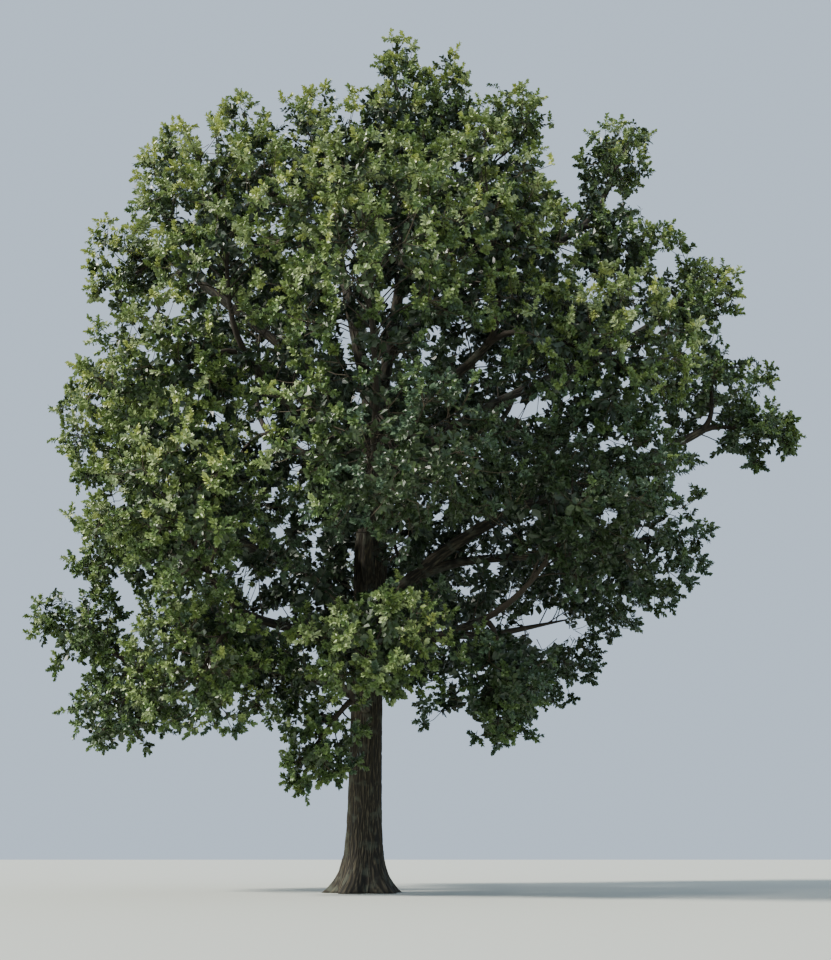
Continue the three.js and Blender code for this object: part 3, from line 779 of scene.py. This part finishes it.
def join_sprays(groups):
    return {name: np.concatenate([group[name] for group in groups]) for name in groups[0]}


def leaf_seats(sprays, leaves, leaf_length, draw):
    """Where each spray's leaves sit, which way they point, which way they face and how long they are.

    leaf_length is one length for all sprays, or one for each.
    """
    shoot = sprays["tip"] - sprays["base"]
    length = np.linalg.norm(shoot, axis=1)
    shoot = shoot / length[:, None]
    number = np.arange(leaves)
    share = ((number + FIRST_LEAF) / leaves) ** LEAVES_TO_TIP_POWER
    across, beside = square_frame(shoot, ASIDE_OF_SHOOTS)
    turn = number[None, :] * GOLDEN_ANGLE + draw.uniform(0, 2 * math.pi, (len(shoot), 1))
    turn = turn + draw.normal(0, LEAF_TURN_SCATTER, turn.shape)
    spread = np.radians(mix(LEAF_ANGLE_AT_FOOT, LEAF_ANGLE_AT_TIP, share))[None, :]
    spread = spread + draw.normal(0, LEAF_ANGLE_SCATTER, turn.shape)
    out = np.cos(turn)[..., None] * across[:, None] + np.sin(turn)[..., None] * beside[:, None]
    along = np.cos(spread)[..., None] * shoot[:, None] + np.sin(spread)[..., None] * out
    along = unit(along - UP * draw.uniform(0.0, MOST_LEAF_DROOP, turn.shape)[..., None])
    seat = sprays["base"][:, None] + shoot[:, None] * (share[None, :] * length[:, None])[..., None]
    outward = FACING_OFF_HUB * unit(sprays["tip"] - sprays["hub"])
    outward = outward + FACING_OFF_MASS * unit(sprays["tip"] - sprays["mass_middle"])
    outward = outward + FACING_OFF_CROWN * unit(sprays["tip"] - CROWN_MIDDLE)
    facing = FACING_UP * UP + outward[:, None] + draw.normal(0, FACING_SCATTER, along.shape)
    facing = facing - np.sum(facing * along, axis=-1, keepdims=True) * along
    size_share = mix(LEAF_SIZE_AT_FOOT, LEAF_SIZE_AT_TIP, share)
    size = np.multiply.outer(leaf_length * np.ones(len(shoot)), size_share)
    size = size * draw.uniform(*LEAF_VARIATION, turn.shape)
    return {"seat": seat, "along": along, "facing": unit(facing), "size": size}


def to_linear(hex_colour):
    """An sRGB colour as written, such as "6b6257", in linear light with full cover."""
    channels = [int(hex_colour[i : i + 2], 16) / 255 for i in (0, 2, 4)]
    return (*[c / 12.92 if c <= 0.04045 else ((c + 0.055) / 1.055) ** 2.4 for c in channels], 1.0)


def add_node(tree, kind, settings=None, links=None):
    """Adds a node. settings are its own properties, and links its inputs, each a socket or a plain value."""
    node = tree.nodes.new(kind)
    for name, value in (settings or {}).items():
        setattr(node, name, value)
    for name, value in (links or {}).items():
        if isinstance(value, bpy.types.NodeSocket):
            tree.links.new(value, node.inputs[name])
        else:
            node.inputs[name].default_value = value
    return node


# Bark's painted patterns: the real sizes of the fine grain on its ridges and of the patches of lichen,
# how far the grain is drawn out upwards, how much it counts beside the furrows and how deep its bumps are
BARK_GRAIN_MM = 70
LICHEN_PATCH_MM = 430
GRAIN_UPWARD_SCALE = 0.22
GRAIN_DETAIL = 6.0
GRAIN_ROUGHNESS = 0.62
LICHEN_DETAIL = 4.0
GRAIN_SHARE = 0.55
DARKEST_BARK = 0.05
PALEST_BARK = 1.35
LICHEN_FROM = 0.52
LICHEN_FULL = 0.66
LICHEN_SHARE = 0.5
SMOOTHEST_BARK = 0.78
ROUGHEST_BARK = 0.97
BARK_BUMP = 0.6
BARK_BUMP_MM = 12


def per_metre(size_mm):
    """The scale of a noise whose features have this real size: how many of them fit in a metre."""
    return 1000 / size_mm


# A Mix node's sockets for colours share their names with those for numbers, so they go by position
MIX_FIRST_COLOUR = 6
MIX_SECOND_COLOUR = 7
MIX_COLOUR_OUT = 2


def new_material(name):
    material = bpy.data.materials.new(name)
    material.use_nodes = True
    material.node_tree.nodes.clear()
    return material


def plain_material(name, colour, roughness):
    """One plain colour with a soft shine, for leaves, thin wood and the ground."""
    material = new_material(name)
    tree = material.node_tree
    shader = add_node(tree, "ShaderNodeBsdfPrincipled", links={
        "Base Color": to_linear(colour),
        "Roughness": roughness,
    })
    add_node(tree, "ShaderNodeOutputMaterial", links={"Surface": shader.outputs["BSDF"]})
    return material


def colour_steps(tree, factor, steps):
    """A ramp through colours at given shares."""
    ramp = add_node(tree, "ShaderNodeValToRGB", links={"Fac": factor})
    elements = ramp.color_ramp.elements
    elements[0].position, elements[0].color = steps[0][0], to_linear(steps[0][1])
    elements[1].position, elements[1].color = steps[-1][0], to_linear(steps[-1][1])
    for share, colour in steps[1:-1]:
        elements.new(share).color = to_linear(colour)
    return ramp.outputs["Color"]


def bark_material(name, steps, patch_colour):
    """Oak bark: dark furrows, grey-brown ridges with paler worn tops, and dull pale patches of lichen."""
    material = new_material(name)
    tree = material.node_tree
    place = add_node(tree, "ShaderNodeTexCoord").outputs["Object"]
    furrow = add_node(tree, "ShaderNodeAttribute", {"attribute_name": "ridge"}).outputs["Fac"]
    stretch = add_node(tree, "ShaderNodeMapping", links={
        "Vector": place,
        "Scale": (1.0, 1.0, GRAIN_UPWARD_SCALE),
    })
    grain = add_node(tree, "ShaderNodeTexNoise", links={
        "Vector": stretch.outputs["Vector"],
        "Scale": per_metre(BARK_GRAIN_MM),
        "Detail": GRAIN_DETAIL,
        "Roughness": GRAIN_ROUGHNESS,
    }).outputs["Fac"]
    blotch = add_node(tree, "ShaderNodeTexNoise", links={
        "Vector": place,
        "Scale": per_metre(LICHEN_PATCH_MM),
        "Detail": LICHEN_DETAIL,
    })
    height = add_node(tree, "ShaderNodeMath", {"operation": "MULTIPLY_ADD"}, {
        0: grain,
        1: GRAIN_SHARE,
        2: furrow,
    })
    shade = add_node(tree, "ShaderNodeMapRange", links={
        "Value": height.outputs["Value"],
        "From Min": DARKEST_BARK,
        "From Max": PALEST_BARK,
    })
    colour = colour_steps(tree, shade.outputs["Result"], steps)
    patch = add_node(tree, "ShaderNodeMapRange", {"interpolation_type": "SMOOTHSTEP"}, {
        "Value": blotch.outputs["Fac"],
        "From Min": LICHEN_FROM,
        "From Max": LICHEN_FULL,
        "To Max": LICHEN_SHARE,
    })
    blend = add_node(tree, "ShaderNodeMix", {"data_type": "RGBA"}, {
        "Factor": patch.outputs["Result"],
        MIX_FIRST_COLOUR: colour,
        MIX_SECOND_COLOUR: to_linear(patch_colour),
    })
    rough = add_node(tree, "ShaderNodeMapRange", links={
        "Value": grain,
        "To Min": SMOOTHEST_BARK,
        "To Max": ROUGHEST_BARK,
    })
    bump = add_node(tree, "ShaderNodeBump", links={
        "Height": grain,
        "Strength": BARK_BUMP,
        "Distance": BARK_BUMP_MM / 1000,
    })
    shader = add_node(tree, "ShaderNodeBsdfPrincipled", links={
        "Base Color": blend.outputs[MIX_COLOUR_OUT],
        "Roughness": rough.outputs["Result"],
        "Normal": bump.outputs["Normal"],
    })
    add_node(tree, "ShaderNodeOutputMaterial", links={"Surface": shader.outputs["BSDF"]})
    return material


def new_tree(name, inputs):
    """A Geometry Nodes tree with these named inputs. Returns it with the sockets that they come out of."""
    tree = bpy.data.node_groups.new(name, "GeometryNodeTree")
    for label, kind in [("Geometry", "NodeSocketGeometry"), *inputs]:
        tree.interface.new_socket(label, in_out="INPUT", socket_type=kind)
    tree.interface.new_socket("Geometry", in_out="OUTPUT", socket_type="NodeSocketGeometry")
    return tree, add_node(tree, "NodeGroupInput").outputs


def end_tree(tree, geometry, material):
    """Realizes what a tree made, and gives it its material."""
    real = add_node(tree, "GeometryNodeRealizeInstances", links={"Geometry": geometry})
    painted = add_node(tree, "GeometryNodeSetMaterial", links={
        "Geometry": real.outputs["Geometry"],
        "Material": material,
    })
    add_node(tree, "NodeGroupOutput", links={"Geometry": painted.outputs["Geometry"]})


def named_values(tree, name, kind):
    node = add_node(tree, "GeometryNodeInputNamedAttribute", {"data_type": kind}, {"Name": name})
    return node.outputs["Attribute"]


def twig_tree():
    """Turns each line of the seed mesh into a tapering twig with flat faces all round and closed ends."""
    tree, given = new_tree("twigs", [("Faces round", "NodeSocketInt"), ("Material", "NodeSocketMaterial")])
    lines = add_node(tree, "GeometryNodeMeshToCurve", links={"Mesh": given["Geometry"]})
    section = add_node(tree, "GeometryNodeCurvePrimitiveCircle", links={
        "Resolution": given["Faces round"],
        "Radius": 1.0,
    })
    tubes = add_node(tree, "GeometryNodeCurveToMesh", links={
        "Curve": lines.outputs["Curve"],
        "Profile Curve": section.outputs["Curve"],
        "Scale": named_values(tree, "thickness", "FLOAT"),
        "Fill Caps": True,
    })
    end_tree(tree, tubes.outputs["Mesh"], given["Material"])
    return tree


def leaf_tree():
    """Puts the leaf pattern on each point of the seed mesh, turned and sized as the point says."""
    tree, given = new_tree("leaves", [("Leaf", "NodeSocketObject"), ("Material", "NodeSocketMaterial")])
    pattern = add_node(tree, "GeometryNodeObjectInfo", links={"Object": given["Leaf"]})
    turned = add_node(tree, "FunctionNodeAxesToRotation", {"primary_axis": "X", "secondary_axis": "Z"}, {
        "Primary Axis": named_values(tree, "along", "FLOAT_VECTOR"),
        "Secondary Axis": named_values(tree, "facing", "FLOAT_VECTOR"),
    })
    placed = add_node(tree, "GeometryNodeInstanceOnPoints", links={
        "Points": given["Geometry"],
        "Instance": pattern.outputs["Geometry"],
        "Rotation": turned.outputs["Rotation"],
        "Scale": named_values(tree, "size", "FLOAT"),
    })
    end_tree(tree, placed.outputs["Instances"], given["Material"])
    return tree


# What the seed meshes say on their points, which the finished pieces don't need
SEED_VALUES = ("along", "facing", "size", "thickness")


def show(name, mesh):
    piece = bpy.data.objects.new(name, mesh)
    bpy.context.scene.collection.objects.link(piece)
    return piece


def grow(name, seed_mesh, tree, values):
    """Runs a tree on a seed mesh, and returns what it made as a plain object at the origin."""
    seed = show(f"{name}_seed", seed_mesh)
    modifier = seed.modifiers.new("grow", "NODES")
    modifier.node_group = tree
    for item in tree.interface.items_tree:
        if item.in_out == "INPUT" and item.name in values:
            modifier[item.identifier] = values[item.name]
    bpy.context.view_layer.update()
    made = seed.evaluated_get(bpy.context.evaluated_depsgraph_get())
    mesh = bpy.data.meshes.new_from_object(made)
    for label in [layer.name for layer in mesh.attributes if layer.name in SEED_VALUES]:
        mesh.attributes.remove(mesh.attributes[label])
    bpy.data.objects.remove(seed)
    return show(name, mesh)


def seed_of_points(name, points, **values):
    """A mesh of loose points with named values on them."""
    mesh = bpy.data.meshes.new(name)
    mesh.vertices.add(len(points))
    mesh.vertices.foreach_set("co", points.astype(np.float32).ravel())
    for label, rows in values.items():
        is_vector = rows.ndim == 2
        layer = mesh.attributes.new(label, "FLOAT_VECTOR" if is_vector else "FLOAT", "POINT")
        layer.data.foreach_set("vector" if is_vector else "value", rows.astype(np.float32).ravel())
    return mesh


def seed_of_lines(name, lines, thickness):
    """A mesh of open lines, given as rows of points, each point with the twig's radius there."""
    count, steps = thickness.shape
    mesh = seed_of_points(name, lines.reshape(-1, 3), thickness=thickness.ravel())
    first = (np.arange(count)[:, None] * steps + np.arange(steps - 1)[None, :]).ravel()
    mesh.edges.add(len(first))
    mesh.edges.foreach_set("vertices", np.stack([first, first + 1], axis=1).ravel())
    return mesh


def mesh_of(name, points, faces, material, smooth=False):
    """A mesh of faces, given as arrays that each hold faces with the same number of corners."""
    mesh = bpy.data.meshes.new(name)
    mesh.from_pydata(points.tolist(), [], [face for alike in faces for face in alike.tolist()])
    mesh.materials.append(material)
    mesh.polygons.foreach_set("use_smooth", [smooth] * len(mesh.polygons))
    mesh.update()
    return mesh


# Bark, in metres: oak bark splits into long flat ridges that join and part, with furrows between them
FURROW_DEPTH_SHARE = 0.055
FURROW_DEPTH_MOST = 0.034
TRUNK_ROW_PITCH = 0.09
LIMB_ROW_PITCH = 0.12
TRUNK_SIDES = 240
LIMB_SIDES = 36
TRUNK_RIDGES = 44
LIMB_RIDGES = 12
CUT_FACE_RIDGE = 0.3
STEEPEST_RIPPLE = 6.0
WANDER = 2.2
LONG_WANDER_PITCH = 2.4
SHORT_WANDER_PITCH = 0.7
BREAK_PITCH = 0.37
BREAK_WANDER = 5
BREAK_WANDER_PITCH = 0.6
UNEVENNESS = 0.25
UNEVENNESS_PITCH = 0.45
LEAST_IN_BREAK = 0.3
LONG_WANDER = 1.2
RIDGE_EDGES = (0.1, 0.75)
BREAK_EDGES = (0.0, 0.3)


def ripple(draw, angles, along, waves, pitch):
    """A smooth uneven pattern round and along a limb, about from -1 to 1, that closes on itself."""
    total = np.zeros(np.broadcast(angles, along).shape)
    for _ in range(waves):
        turns = draw.integers(1, 6)
        climb = draw.uniform(-STEEPEST_RIPPLE, STEEPEST_RIPPLE)
        total += np.sin(turns * angles + along * climb / pitch + draw.uniform(0, 2 * math.pi))
    return total / math.sqrt(waves)


def bark_relief(angles, along, ridges, seed):
    """How high the bark stands, from 0 in a furrow to 1 on a ridge, round and along a limb."""
    draw = np.random.default_rng(seed)
    wander = LONG_WANDER * ripple(draw, angles, along, 5, LONG_WANDER_PITCH)
    wander = wander + ripple(draw, 3 * angles, along, 5, SHORT_WANDER_PITCH)
    wave = 0.5 + 0.5 * np.cos(ridges * angles + WANDER * wander)
    shifted = BREAK_WANDER * ripple(draw, 5 * angles, along, 4, BREAK_WANDER_PITCH)
    breaks = 0.5 + 0.5 * np.sin(along / BREAK_PITCH * 2 * math.pi + shifted)
    uneven = 1 - UNEVENNESS + UNEVENNESS * ripple(draw, 7 * angles, along, 5, UNEVENNESS_PITCH)
    ridge = smooth_step(wave, *RIDGE_EDGES)
    crack = smooth_step(breaks, *BREAK_EDGES)
    return np.clip(ridge * mix(LEAST_IN_BREAK, 1.0, crack) * uneven, 0, 1)


def barked(name, path, radius_at, pitch, sides, ridges, seed, material):
    """The trunk or a limb with its bark in relief: rings of points along its path, closed at both ends."""
    rows = int(path.length / pitch)
    shares = np.linspace(0, 1, rows + 1)
    angles = 2 * math.pi * np.arange(sides) / sides
    base = radius_at(shares[:, None], angles[None, :])
    relief = bark_relief(angles[None, :], (shares * path.length)[:, None], ridges, seed)
    radii = base - np.minimum(FURROW_DEPTH_MOST, FURROW_DEPTH_SHARE * base) * (1 - relief)
    across, beside = square_frame(path.tangents(shares), path.sideways)
    rings = path.points(shares)[:, None]
    rings = rings + (radii * np.cos(angles))[..., None] * across[:, None]
    rings = rings + (radii * np.sin(angles))[..., None] * beside[:, None]
    points = np.concatenate([rings.reshape(-1, 3), path.points([0.0, 1.0])])
    column = np.arange(sides)
    following = (column + 1) % sides
    ring = np.arange(rows)[:, None] * sides
    next_ring = ring + sides
    walls = np.stack([ring + column, ring + following, next_ring + following, next_ring + column], axis=-1)
    foot = np.full(sides, len(points) - 2)
    top = foot + 1
    last_ring = rows * sides
    ends = np.concatenate([
        np.stack([foot, following, column], axis=1),
        np.stack([top, last_ring + column, last_ring + following], axis=1),
    ])
    mesh = mesh_of(name, points, [walls.reshape(-1, 4), ends], material, smooth=True)
    ridge = mesh.attributes.new("ridge", "FLOAT", "POINT")
    ridge.data.foreach_set("value", np.append(relief.ravel(), [CUT_FACE_RIDGE, CUT_FACE_RIDGE]))
    return show(name, mesh)


TRUNK = TrunkPath()
lay_limbs(TRUNK)
lay_stems()
wall_off()

# Every seed is fixed, so that the tree is the same each time. Limbs and masses count on from theirs.
TRUNK_BARK_SEED = 5
LIMB_BARK_SEED = 11
MASS_SEED = 101
LIMB_TWIG_SEED = 201
TRUNK_TWIG_SEED = 301
LEAF_SEED = 7

# Gives the eye the trunk's dark furrows, its worn grey-brown ridges and dull green-grey lichen
oak_bark = bark_material("oak bark", [
    (0.0, "12100b"),
    (0.35, "231f16"),
    (0.7, "3f392b"),
    (1.0, "5c5543"),
], "53584a")
# Gives the eye the dull branches between the leaves, nearly black: dark brown wood, partly painted shade of
# the crown
branch_bark = plain_material("branch bark", "332c21", 0.85)
# Gives the eye the browner, slightly smoother bark of young wood
twig_bark = plain_material("twig bark", "413826", 0.8)

trunk_bark = barked(
    "bark_trunk",
    TRUNK,
    trunk_radius,
    TRUNK_ROW_PITCH,
    TRUNK_SIDES,
    TRUNK_RIDGES,
    TRUNK_BARK_SEED,
    oak_bark,
)
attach(trunk_bark, "root")
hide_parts("trunk")
for index, one in enumerate(LIMBS):
    limb_bark = barked(
        f"bark_{one['node']}",
        one["path"],
        lambda shares, angles, one=one: limb_radius(one, shares),
        LIMB_ROW_PITCH,
        LIMB_SIDES,
        LIMB_RIDGES,
        index + LIMB_BARK_SEED,
        oak_bark,
    )
    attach(limb_bark, "root")
    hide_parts(one["node"])

WOOD = wood_skin()
GROWN = [grow_mass(one, index + MASS_SEED, WOOD) for index, one in enumerate(MASSES)]
ALONG = [
    grow_along(one["path"], FIRST_SIDE_TWIG, SIDE_TWIG_PITCH, index + LIMB_TWIG_SEED, WOOD)
    for index, one in enumerate(LIMBS)
]
ALONG.append(grow_along(TRUNK, FIRST_ON_TRUNK, TRUNK_TWIG_PITCH, TRUNK_TWIG_SEED, WOOD))
SHOOTS = join_sprays([grown["shoots"] for grown in GROWN])
INNER = join_sprays([grown["inner"] for grown in GROWN + ALONG])

twigs = twig_tree()


def grow_wood(name, lines, radii, sides, material):
    """One piece of tapering wood along lines, with this many flat faces round each."""
    seed_mesh = seed_of_lines(f"{name} lines", lines, np.broadcast_to(radii, lines.shape[:2]))
    return grow(name, seed_mesh, twigs, {
        "Faces round": sides,
        "Material": material,
    })


# Points on a stem, faces round each kind of wood, and half its thickness from foot to tip in metres
POINTS_ON_STEM = 11
STEM_SIDES = 8
BRANCH_SIDES = 5
TWIG_SIDES = 3
TWIG_RADII = (0.016, 0.012, 0.009)
SHOOT_RADII = (0.009, 0.005)

stem_shares = np.linspace(0, 1, POINTS_ON_STEM)
stem_lines = np.array([bezier(one["stem"], stem_shares) for one in MASSES])
stem_radii = np.array([mix(one["stem_radius"], STEM_END_RADIUS, stem_shares) for one in MASSES])
twig_lines = np.concatenate([grown["twigs"] for grown in GROWN])
shoot_lines = np.stack([SHOOTS["base"], SHOOTS["tip"]], axis=1)
inner_lines = np.stack([INNER["base"], INNER["tip"]], axis=1)
pieces = [
    grow_wood("stems", stem_lines, stem_radii, STEM_SIDES, branch_bark),
    grow_wood(
        "branches",
        np.concatenate([grown["branches"] for grown in GROWN + ALONG]),
        np.concatenate([grown["branch_radii"] for grown in GROWN + ALONG]),
        BRANCH_SIDES,
        branch_bark,
    ),
    grow_wood("twigs", twig_lines, TWIG_RADII, TWIG_SIDES, twig_bark),
    grow_wood("shoots", np.concatenate([shoot_lines, inner_lines]), SHOOT_RADII, TWIG_SIDES, twig_bark),
]

# One leaf, a metre long: a lobe low on one side and high on the other, and a tip that droops
LEAF_OUTLINE = np.array([
    (0.0, 0.0, 0.0),
    (0.4, -0.34, 0.07),
    (1.0, -0.03, -0.08),
    (0.66, 0.38, 0.06),
    (0.24, 0.24, 0.05),
])
LEAF_FACES = np.array([(0, 1, 2), (0, 2, 3), (0, 3, 4)])

# Leaf colours with painted light and shade, from each mass's shaded side to its sunlit tips, with their
# shares of the shoots, and what each gives the eye
TINTS = [
    ("deep", "394a2c", 0.16),  # the darkest green, where a mass turns away from the light
    ("cool", "455a40", 0.14),  # a bluish green, as of shaded leaves under an open sky
    ("shaded", "4f6438", 0.15),  # a green still in shade
    ("middle", "5c733f", 0.16),  # the crown's overall green
    ("olive", "6f8246", 0.14),  # a duller green in half sun
    ("fresh", "82945a", 0.12),  # painted sunlight: a bright green for the shoots in full sun
    ("pale", "9aa876", 0.08),  # a greyish green, as of waxy leaves that mirror the sun
    ("tip", "a8b366", 0.05),  # the yellow-green of young leaves, dealt to the most sunlit shoots: partly painted sunlight
]
# Painted shade: a dark leaf colour for the leaves deep in the crown, and a somewhat lighter one for those
# that show through near its outline
INNER_SHADE_TINT = "2d3c27"
OUTLINE_SHADE_TINT = "3c4d2c"
LEAF_ROUGHNESS = 0.38
SUN_DIRECTION = (-0.76, -0.32, 0.7)

# What makes a shoot light: facing out of the crown, height in its mass, the sun's side, and chance
OUTWARD_LIGHT = 0.45
HEIGHT_LIGHT = 0.3
SUNNY_SIDE_SHARE = 0.55
LIGHT_SCATTER_OF_MASS = 0.12
LIGHT_SCATTER = 0.3


def deal_tints(draw):
    """Ranks the shoots from the shaded side of each mass to its sunlit tips, and deals the colours so."""
    out = (SHOOTS["tip"] - SHOOTS["mass_middle"]) / SHOOTS["mass_half"][:, None]
    from_crown = unit(SHOOTS["tip"] - CROWN_MIDDLE)
    shoots_of_mass = [len(grown["shoots"]["tip"]) for grown in GROWN]
    of_mass = np.repeat(draw.normal(0, LIGHT_SCATTER_OF_MASS, len(GROWN)), shoots_of_mass)
    light = OUTWARD_LIGHT * np.sum(out * from_crown, axis=1) + HEIGHT_LIGHT * out[:, 2] + of_mass
    light = light + draw.normal(0, LIGHT_SCATTER, len(out))
    light = light + SUNNY_SIDE_SHARE * from_crown @ unit(np.array(SUN_DIRECTION))
    light = light + shift_of_light(SHOOTS["tip"])
    rank = np.empty(len(light))
    rank[np.argsort(light)] = (np.arange(len(light)) + 0.5) / len(light)
    bounds = np.cumsum([share for _, _, share in TINTS])
    return np.minimum(np.searchsorted(bounds, rank), len(TINTS) - 1)


def grow_leaves(name, seats, chosen, colour):
    """One piece of leaves of one colour, on the chosen sprays."""
    seed_mesh = seed_of_points(
        f"{name} seats",
        seats["seat"][chosen].reshape(-1, 3),
        along=seats["along"][chosen].reshape(-1, 3),
        facing=seats["facing"][chosen].reshape(-1, 3),
        size=seats["size"][chosen].ravel(),
    )
    return grow(name, seed_mesh, leaves, {
        "Leaf": leaf_pattern,
        "Material": plain_material(name, colour, LEAF_ROUGHNESS),
    })


draw_leaves = np.random.default_rng(LEAF_SEED)
outer_seats = leaf_seats(SHOOTS, LEAVES_ON_SHOOT, LEAF_LENGTH, draw_leaves)
near_outline = smooth_step(crown_share(INNER["tip"]), OUTLINE_BEGINS, OUTLINE_FULL)
inner_length = mix(INNER_LEAF_LENGTH, OUTLINE_INNER_LEAF_LENGTH, near_outline)
inner_seats = leaf_seats(INNER, LEAVES_ON_INNER_SHOOT, inner_length, draw_leaves)
tint_of_shoot = deal_tints(draw_leaves)
leaf_pattern = show("leaf_pattern", mesh_of("leaf_pattern", LEAF_OUTLINE, [LEAF_FACES], branch_bark))
leaves = leaf_tree()
pieces.append(grow_leaves("leaves_inner", inner_seats, near_outline < OUTLINE_SPLIT, INNER_SHADE_TINT))
pieces.append(
    grow_leaves("leaves_inner_outline", inner_seats, near_outline >= OUTLINE_SPLIT, OUTLINE_SHADE_TINT)
)
for index, (tint, colour, _) in enumerate(TINTS):
    pieces.append(grow_leaves(f"leaves_{tint}", outer_seats, tint_of_shoot == index, colour))
bpy.data.objects.remove(leaf_pattern)

for piece in pieces:
    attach(piece, "root")
    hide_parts(*[one["node"] for one in MASSES])

# A plain pale ground to stand on, a soft sky and a sun from the left and the front
FLOOR_HALF_SIDE = 200
FLOOR_DROP = 0.001
FLOOR_SQUARE = np.array([(-1, -1, 0), (1, -1, 0), (1, 1, 0), (-1, 1, 0)])
SKY_COLOUR = "d7eaff"
SKY_STRENGTH = 0.9
SUN_COLOUR = "fffaf1"
SUN_ENERGY = 7.5
SUN_ANGLE = 10

floor_material = plain_material("plain ground", "b9bcb2", 0.9)
floor_corners = FLOOR_SQUARE * FLOOR_HALF_SIDE - FLOOR_DROP * UP
floor_mesh = mesh_of("ground_plane", floor_corners, [np.array([(0, 1, 2, 3)])], floor_material)
floor = show("ground_plane", floor_mesh)

world = bpy.data.worlds.new("sky")
bpy.context.scene.world = world
world.use_nodes = True
background = world.node_tree.nodes["Background"]
background.inputs["Color"].default_value = to_linear(SKY_COLOUR)
background.inputs["Strength"].default_value = SKY_STRENGTH

sun_light = bpy.data.lights.new("sun", "SUN")
sun_light.energy = SUN_ENERGY
sun_light.angle = math.radians(SUN_ANGLE)
sun_light.color = to_linear(SUN_COLOUR)[:3]
sun = bpy.data.objects.new("sun", sun_light)
sun.rotation_euler = Vector(SUN_DIRECTION).to_track_quat("Z", "Y").to_euler()
bpy.context.scene.collection.objects.link(sun)

lens = bpy.data.cameras.new("photograph")
lens.lens = LENS_MM
lens.sensor_width = SENSOR_MM
lens.clip_end = 500.0
camera = bpy.data.objects.new("photograph", lens)
camera.location = EYE
camera.rotation_euler = (math.radians(90) + EYE_PITCH, 0, 0)
bpy.context.scene.collection.objects.link(camera)
bpy.context.scene.camera = camera
